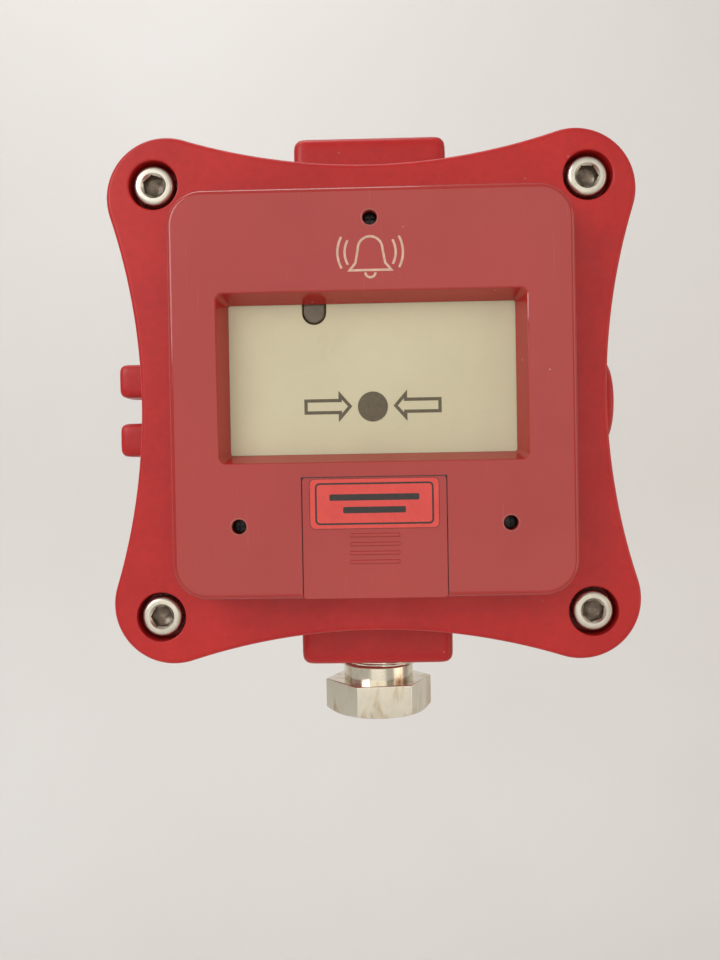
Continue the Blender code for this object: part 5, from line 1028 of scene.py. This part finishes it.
def make_door():
    """The sliding door with its grip ribs, and the label with a frame line and two plain bars."""
    middle = (0.0, (DOOR_TOP + COVER_LOW.z) / 2)
    half_h = (DOOR_TOP - COVER_LOW.z) / 2
    outline = round_box(DOOR_HALF, half_h, 0.8 * MM, middle, 6)
    door = plate("sliding_door", [outline], COVER_FRONT, COVER_FRONT + COVER_WALL + 0.5 * MM)
    soften(door, COVER_EDGE, 6, lambda c: abs(c.y - COVER_FRONT) < EPS and abs(c.z - COVER_LOW.z) < EPS)
    soften(door, 0.3 * MM, 3, at_depth(COVER_FRONT))
    flange_front = COVER_FRONT + COVER_WALL + 0.3 * MM
    reach = DOOR_HIGH.x
    join(door, block("flange", (-reach, flange_front, COVER_LOW.z + 0.5 * MM),
                     (reach, flange_front + 1.2 * MM, DOOR_HIGH.z), 0.25 * MM))
    label_mid = (0.0, (LABEL_LOW.z + LABEL_HIGH.z) / 2)
    label_w, label_h = LABEL_HIGH.x, (LABEL_HIGH.z - LABEL_LOW.z) / 2
    recess = plate("recess", [round_box(label_w + 0.15 * MM, label_h + 0.15 * MM, 1.3 * MM, label_mid)],
                   COVER_FRONT - OVER, COVER_FRONT + 0.38 * MM)
    cut(door, recess)
    first, pitch, half, thick = LABEL_LOW.z - 1.6 * MM, 2.1 * MM, 5.9 * MM, 0.45 * MM
    ribs = []
    for row in range(4):
        z = first - row * pitch
        ribs.append(block("rib", (-half, DOOR_LOW.y, z - thick), (half, COVER_FRONT + OVER, z + thick),
                          0.22 * MM, 3))
    join(door, *ribs)
    dressed(door, GLOSS, "door", ["jack_door"])
    label = plate("label_film", [round_box(label_w, label_h, 1.2 * MM, label_mid)], LABEL_LOW.y, LABEL_HIGH.y)
    soften(label, 0.06 * MM, 2, at_depth(LABEL_LOW.y))
    dressed(label, FILM, "door", ["warning_label"])
    face = LABEL_LOW.y - 0.02 * MM
    frame_line = ribbon(round_box(13.8 * MM, 4.75 * MM, 0.9 * MM, label_mid, 5), 0.42 * MM, closed=True)
    border = plate("label_border", frame_line, face, face + 0.05 * MM)
    dressed(border, BLACK_INK, "door")
    for name, z, half in (("upper", 1.5 * MM, 10.6 * MM), ("lower", -1.5 * MM, 7.4 * MM)):
        bar = plate("label_bar_" + name, [round_box(half, 0.75 * MM, 0.3 * MM, (0, label_mid[1] + z), 4)],
                    face, face + 0.05 * MM)
        dressed(bar, BLACK_INK, "door")


def make_bell():
    """A plain line drawing of a bell in the place of the printed pictogram."""
    face, ink = COVER_FRONT - 0.02 * MM, 0.05 * MM
    line = 0.55 * MM
    cx, cz = 0.0, 32.6 * MM
    crown = arc((cx, cz + 1.4 * MM), 2.9 * MM, math.pi, 0.0, 18)
    dome = [(cx - 4.9 * MM, cz - 3.6 * MM), (cx - 3.5 * MM, cz - 1.9 * MM)] + crown
    dome += [(cx + 3.5 * MM, cz - 1.9 * MM), (cx + 4.9 * MM, cz - 3.6 * MM)]
    bell = plate("bell_sign_dome", ribbon(dome, line, closed=True), face, face + ink)
    dressed(bell, TAN_INK, "housing")
    clapper = arc((cx, cz - 4.1 * MM), 1.2 * MM, math.pi * 1.02, math.pi * 1.98, 12)
    dressed(plate("bell_sign_clapper", ribbon(clapper, line), face, face + ink), TAN_INK, "housing")
    for name, side in (("left", math.pi), ("right", 0.0)):
        for number, radius in enumerate((6.0 * MM, 7.7 * MM)):
            wave = arc((cx, cz + 0.6 * MM), radius, side - 0.5, side + 0.5, 14)
            mark = plate(f"bell_sign_wave_{name}_{number}", ribbon(wave, line), face, face + ink)
            dressed(mark, TAN_INK, "housing")


# ---- gland and plug


def threaded(name, root, crest, top, bottom, start, end, steps=96):
    """A turned bar with a real helical thread between start and end, along the entry's axis."""
    shape = bmesh.new()
    rise = THREAD_PITCH / 8
    count = round((top - bottom) / rise)
    rows = []
    for level in range(count + 1):
        z = top - (top - bottom) * level / count
        row = []
        for step in range(steps):
            angle = math.tau * step / steps
            phase = (z / THREAD_PITCH + step / steps) % 1.0
            tooth = min(1.0, 2.4 * min(phase, 1.0 - phase))
            runout = min(1.0, max(0.0, (z - start) / THREAD_PITCH))
            fade = runout * min(1.0, max(0.0, (end - z) / (0.5 * MM)))
            reach = 1.0 - (1.0 - tooth) * fade if z > start else NECK_SHARE
            radius = root + (crest - root) * reach
            row.append(shape.verts.new((radius * math.cos(angle), ENTRY_Y + radius * math.sin(angle), z)))
        rows.append(row)
    skin_rows(shape, rows)
    shape.faces.new(rows[0])
    shape.faces.new(rows[-1])
    return from_shape(name, shape)


def hexagon(name, flats, top, bottom, front_turn, crown):
    """A hexagonal prism along the entry's axis with a turned chamfer at its lower end."""
    corner = flats / 2 / math.cos(math.pi / 6)
    prism = rod(name, corner, (0, ENTRY_Y, bottom), (0, ENTRY_Y, top), 6, front_turn)
    soften(prism, 0.25 * MM, 3, lambda c: True, 20.0)
    reach = corner + 0.2 * MM
    drop = (reach - flats / 2 + 0.3 * MM) * crown
    height = top - bottom
    profile = [(0, -0.01 * MM), (flats / 2 - 0.3 * MM, -0.01 * MM), (reach, drop), (reach, height + OVER),
               (0, height + OVER)]
    limit = lathe("limit", profile, (0, ENTRY_Y, bottom), (0, 0, 1), 128)
    return solids(prism, "INTERSECT", [limit])


def make_nut():
    """The gland's nut: a threaded neck on a hexagon turned a little off the front."""
    top, bottom = NUT_HIGH.z, NUT_LOW.z
    hex_top = bottom + NUT_HEX_HEIGHT
    smooth = -HUB_REACH - NUT_THREAD_SHOWING
    neck = threaded("gland_body", NUT_ROOT, NUT_CREST, top, hex_top - OVER, smooth, top)
    head = hexagon("head", NUT_FLATS, hex_top, bottom, NUT_TURN, 0.45)
    join(neck, head)
    mouth, length = NUT_BORE + 2.5 * MM, top - bottom + OVER
    bore = [(0, -OVER), (mouth + OVER, -OVER), (mouth, 0.0), (mouth - 0.5 * MM, 0.5 * MM),
            (NUT_BORE, 2.5 * MM), (NUT_BORE, length), (0, length)]
    cut(neck, lathe("bore", bore, (0, ENTRY_Y, bottom), (0, 0, 1), 96))
    dressed(neck, NICKEL, "nut", ["gland_nut"], 28.0)


def make_plug():
    top, bottom = PLUG_HIGH.z, PLUG_LOW.z
    radius = PLUG_HIGH.x
    plug = threaded("hex_socket_plug", radius - 0.75 * MM, radius - 0.02 * MM, top, bottom,
                    bottom - OVER, top)
    key = 5.0 * MM / math.cos(math.pi / 6)
    socket = rod("socket", key, (0, ENTRY_Y, top - 6 * MM), (0, ENTRY_Y, top + OVER), 6, math.pi / 6)
    profile = [(0, OVER), (key + 0.3 * MM + OVER, OVER), (key - 0.3 * MM, -0.6 * MM), (0, -0.6 * MM)]
    mouth = lathe("mouth", profile, (0, ENTRY_Y, top), (0, 0, 1), 64)
    edge = lathe("edge", [(radius - 0.8 * MM, OVER), (radius + OVER, OVER), (radius + OVER, -1.0 * MM),
                          (radius + 0.2 * MM, -1.0 * MM)], (0, ENTRY_Y, top), (0, 0, 1), 64, closed=True)
    cut(plug, socket, mouth, edge)
    dressed(plug, NICKEL, "housing", ["stopping_plug"], 28.0)


# ---- pieces inside


def make_spring():
    """The panel's return spring, wound finely."""
    low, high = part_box("rod_spring")
    wire = 0.3 * MM
    radius = (high.x - low.x) / 2 - wire
    middle_z = (low.z + high.z) / 2
    start, end = low.y + wire, high.y - wire
    turns, per_turn, sides = 5, 40, 12
    shape = bmesh.new()
    rows = []
    for step in range(turns * per_turn + 1):
        angle = math.tau * step / per_turn
        out = Vector((math.cos(angle), 0.0, math.sin(angle)))
        centre = out * radius + Vector((0, start + (end - start) * step / (turns * per_turn), middle_z))
        row = []
        for side in range(sides):
            around = math.tau * side / sides
            ring = out * math.cos(around) + Vector((0, math.sin(around), 0))
            row.append(shape.verts.new(centre + ring * wire))
        rows.append(row)
    skin_rows(shape, rows)
    shape.faces.new(rows[0])
    shape.faces.new(rows[-1][::-1])
    spring = from_shape("return_spring", shape)
    dressed(spring, STEEL, "housing", ["rod_spring"], weighted=False)
    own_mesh(spring)


def dress_inner_nodes():
    """Materials for the CAD nodes whose shape stays."""
    corners = ["top_left", "top_right", "bottom_left", "bottom_right"]
    looks = {
        STEEL: [f"lid_washer_{corner}" for corner in corners]
        + ["detent_spring_left", "detent_spring_right", "push_rod", "outer_earth_washer",
           "inner_earth_washer", "gland_washer"],
        BLACK_STEEL: ["rod_retainer"],
        BRASS: [f"terminal_screw_{number}" for number in range(1, 5)]
        + ["rod_bush", "inner_earth_screw", "outer_earth_screw", "outer_earth_clamp"],
        BLACK: ["phone_jack", "micro_switch"],
        IVORY: ["switch_plunger"],
        BOARD: ["unit_board", "circuit_board"],
        TERMINAL: ["terminal_block"],
        RUBBER: ["gland_seal", "plug_gasket"],
        BRIGHT: ["blanking_disc"] + [f"board_screw_{corner}" for corner in corners],
    }
    for material, names in looks.items():
        for name in names:
            node = NODES[name]
            node.data.materials.clear()
            node.data.materials.append(material)


# ---- stage, light and camera


def make_stage():
    """A pale floor that curves up into a pale backdrop well behind the object."""
    half, floor, behind, front, bend = 4.0, -0.34, 0.62, -5.0, 0.3
    profile = [(front, floor), (behind - bend, floor)]
    profile += [(behind - bend + bend * math.sin(a), floor + bend * (1 - math.cos(a)))
                for a in (math.pi / 2 * step / 24 for step in range(1, 25))]
    profile.append((behind, 1.6))
    shape = bmesh.new()
    rows = [[shape.verts.new((x, y, z)) for x in (-half, half)] for y, z in profile]
    skin_rows(shape, rows, loop=False)
    mesh = bpy.data.meshes.new("paper_sweep")
    shape.to_mesh(mesh)
    shape.free()
    sweep = put("paper_sweep", mesh)
    sweep.data.materials.append(stage_paper())
    sweep.data.shade_smooth()


def area_light(name, place, aim, size, power, colour):
    data = bpy.data.lights.new(name, "AREA")
    data.shape = "RECTANGLE"
    data.size, data.size_y = size
    data.energy = power
    data.color = colour
    lamp = bpy.data.objects.new(name, data)
    bpy.context.scene.collection.objects.link(lamp)
    lamp.location = place
    lamp.rotation_mode = "QUATERNION"
    lamp.rotation_quaternion = (Vector(aim) - Vector(place)).to_track_quat("-Z", "Y")
    lamp.visible_camera = False


def make_light():
    """A pale room with a window at the left, a wide soft light in front and a warm one at the right."""
    world = bpy.data.worlds.new("soft_room")
    world.use_nodes = True
    tree = world.node_tree
    background = tree.nodes["Background"]
    place = tree.nodes.new("ShaderNodeTexCoord")
    split = tree.nodes.new("ShaderNodeSeparateXYZ")
    shift = tree.nodes.new("ShaderNodeMapRange")
    shift.inputs["From Min"].default_value = -1.0
    ramp = tree.nodes.new("ShaderNodeValToRGB")
    for source, target in ((place.outputs["Generated"], split.inputs["Vector"]),
                           (split.outputs["Z"], shift.inputs["Value"]),
                           (shift.outputs["Result"], ramp.inputs["Fac"]),
                           (ramp.outputs["Color"], background.inputs["Color"])):
        tree.links.new(source, target)
    stops = ((0.46, (0.4, 0.39, 0.38)), (0.72, (0.66, 0.645, 0.63)))  # low and high in the room
    for element, (position, colour) in zip(ramp.color_ramp.elements, stops):
        element.position = position
        element.color = (*colour, 1.0)
    background.inputs["Strength"].default_value = 0.85
    bpy.context.scene.world = world
    centre = (0.0, -0.04, 0.0)
    area_light("window_light", (-0.62, -0.7, 0.4), centre, (0.5, 0.6), 4.0, (0.95, 0.98, 1.0))
    area_light("ceiling_light", (0.0, -1.3, 0.08), centre, (1.2, 1.0), 3.6, (1.0, 0.94, 0.87))
    area_light("backdrop_light", (-0.3, 0.12, 0.95), (-0.3, 0.6, 0.0), (0.7, 0.3), 3.0, (1.0, 0.99, 0.97))
    area_light("room_light", (0.9, -0.35, 0.0), centre, (0.6, 0.9), 2.0, (1.0, 0.86, 0.7))


def make_camera():
    """The place and lens that were fitted to the cover, lid, screws and hubs."""
    data = bpy.data.cameras.new("photo_camera")
    data.lens = 36.21
    data.sensor_width = 36.0
    data.clip_start, data.clip_end = 0.01, 10.0
    camera = bpy.data.objects.new("photo_camera", data)
    bpy.context.scene.collection.objects.link(camera)
    camera.location = (0.00175, -0.30047, -0.01737)
    camera.rotation_euler = [math.radians(a) for a in (89.264, 0.991, 1.259)]
    bpy.context.scene.camera = camera


bpy.context.scene.view_settings.view_transform = "Standard"
for make in (make_camera, make_stage, make_light, make_body, make_lid, make_seal, make_lid_screws,
             make_cover, make_base_screws, make_base, make_panel, make_lens, make_door, make_bell,
             make_nut, make_plug, make_spring, dress_inner_nodes):
    make()
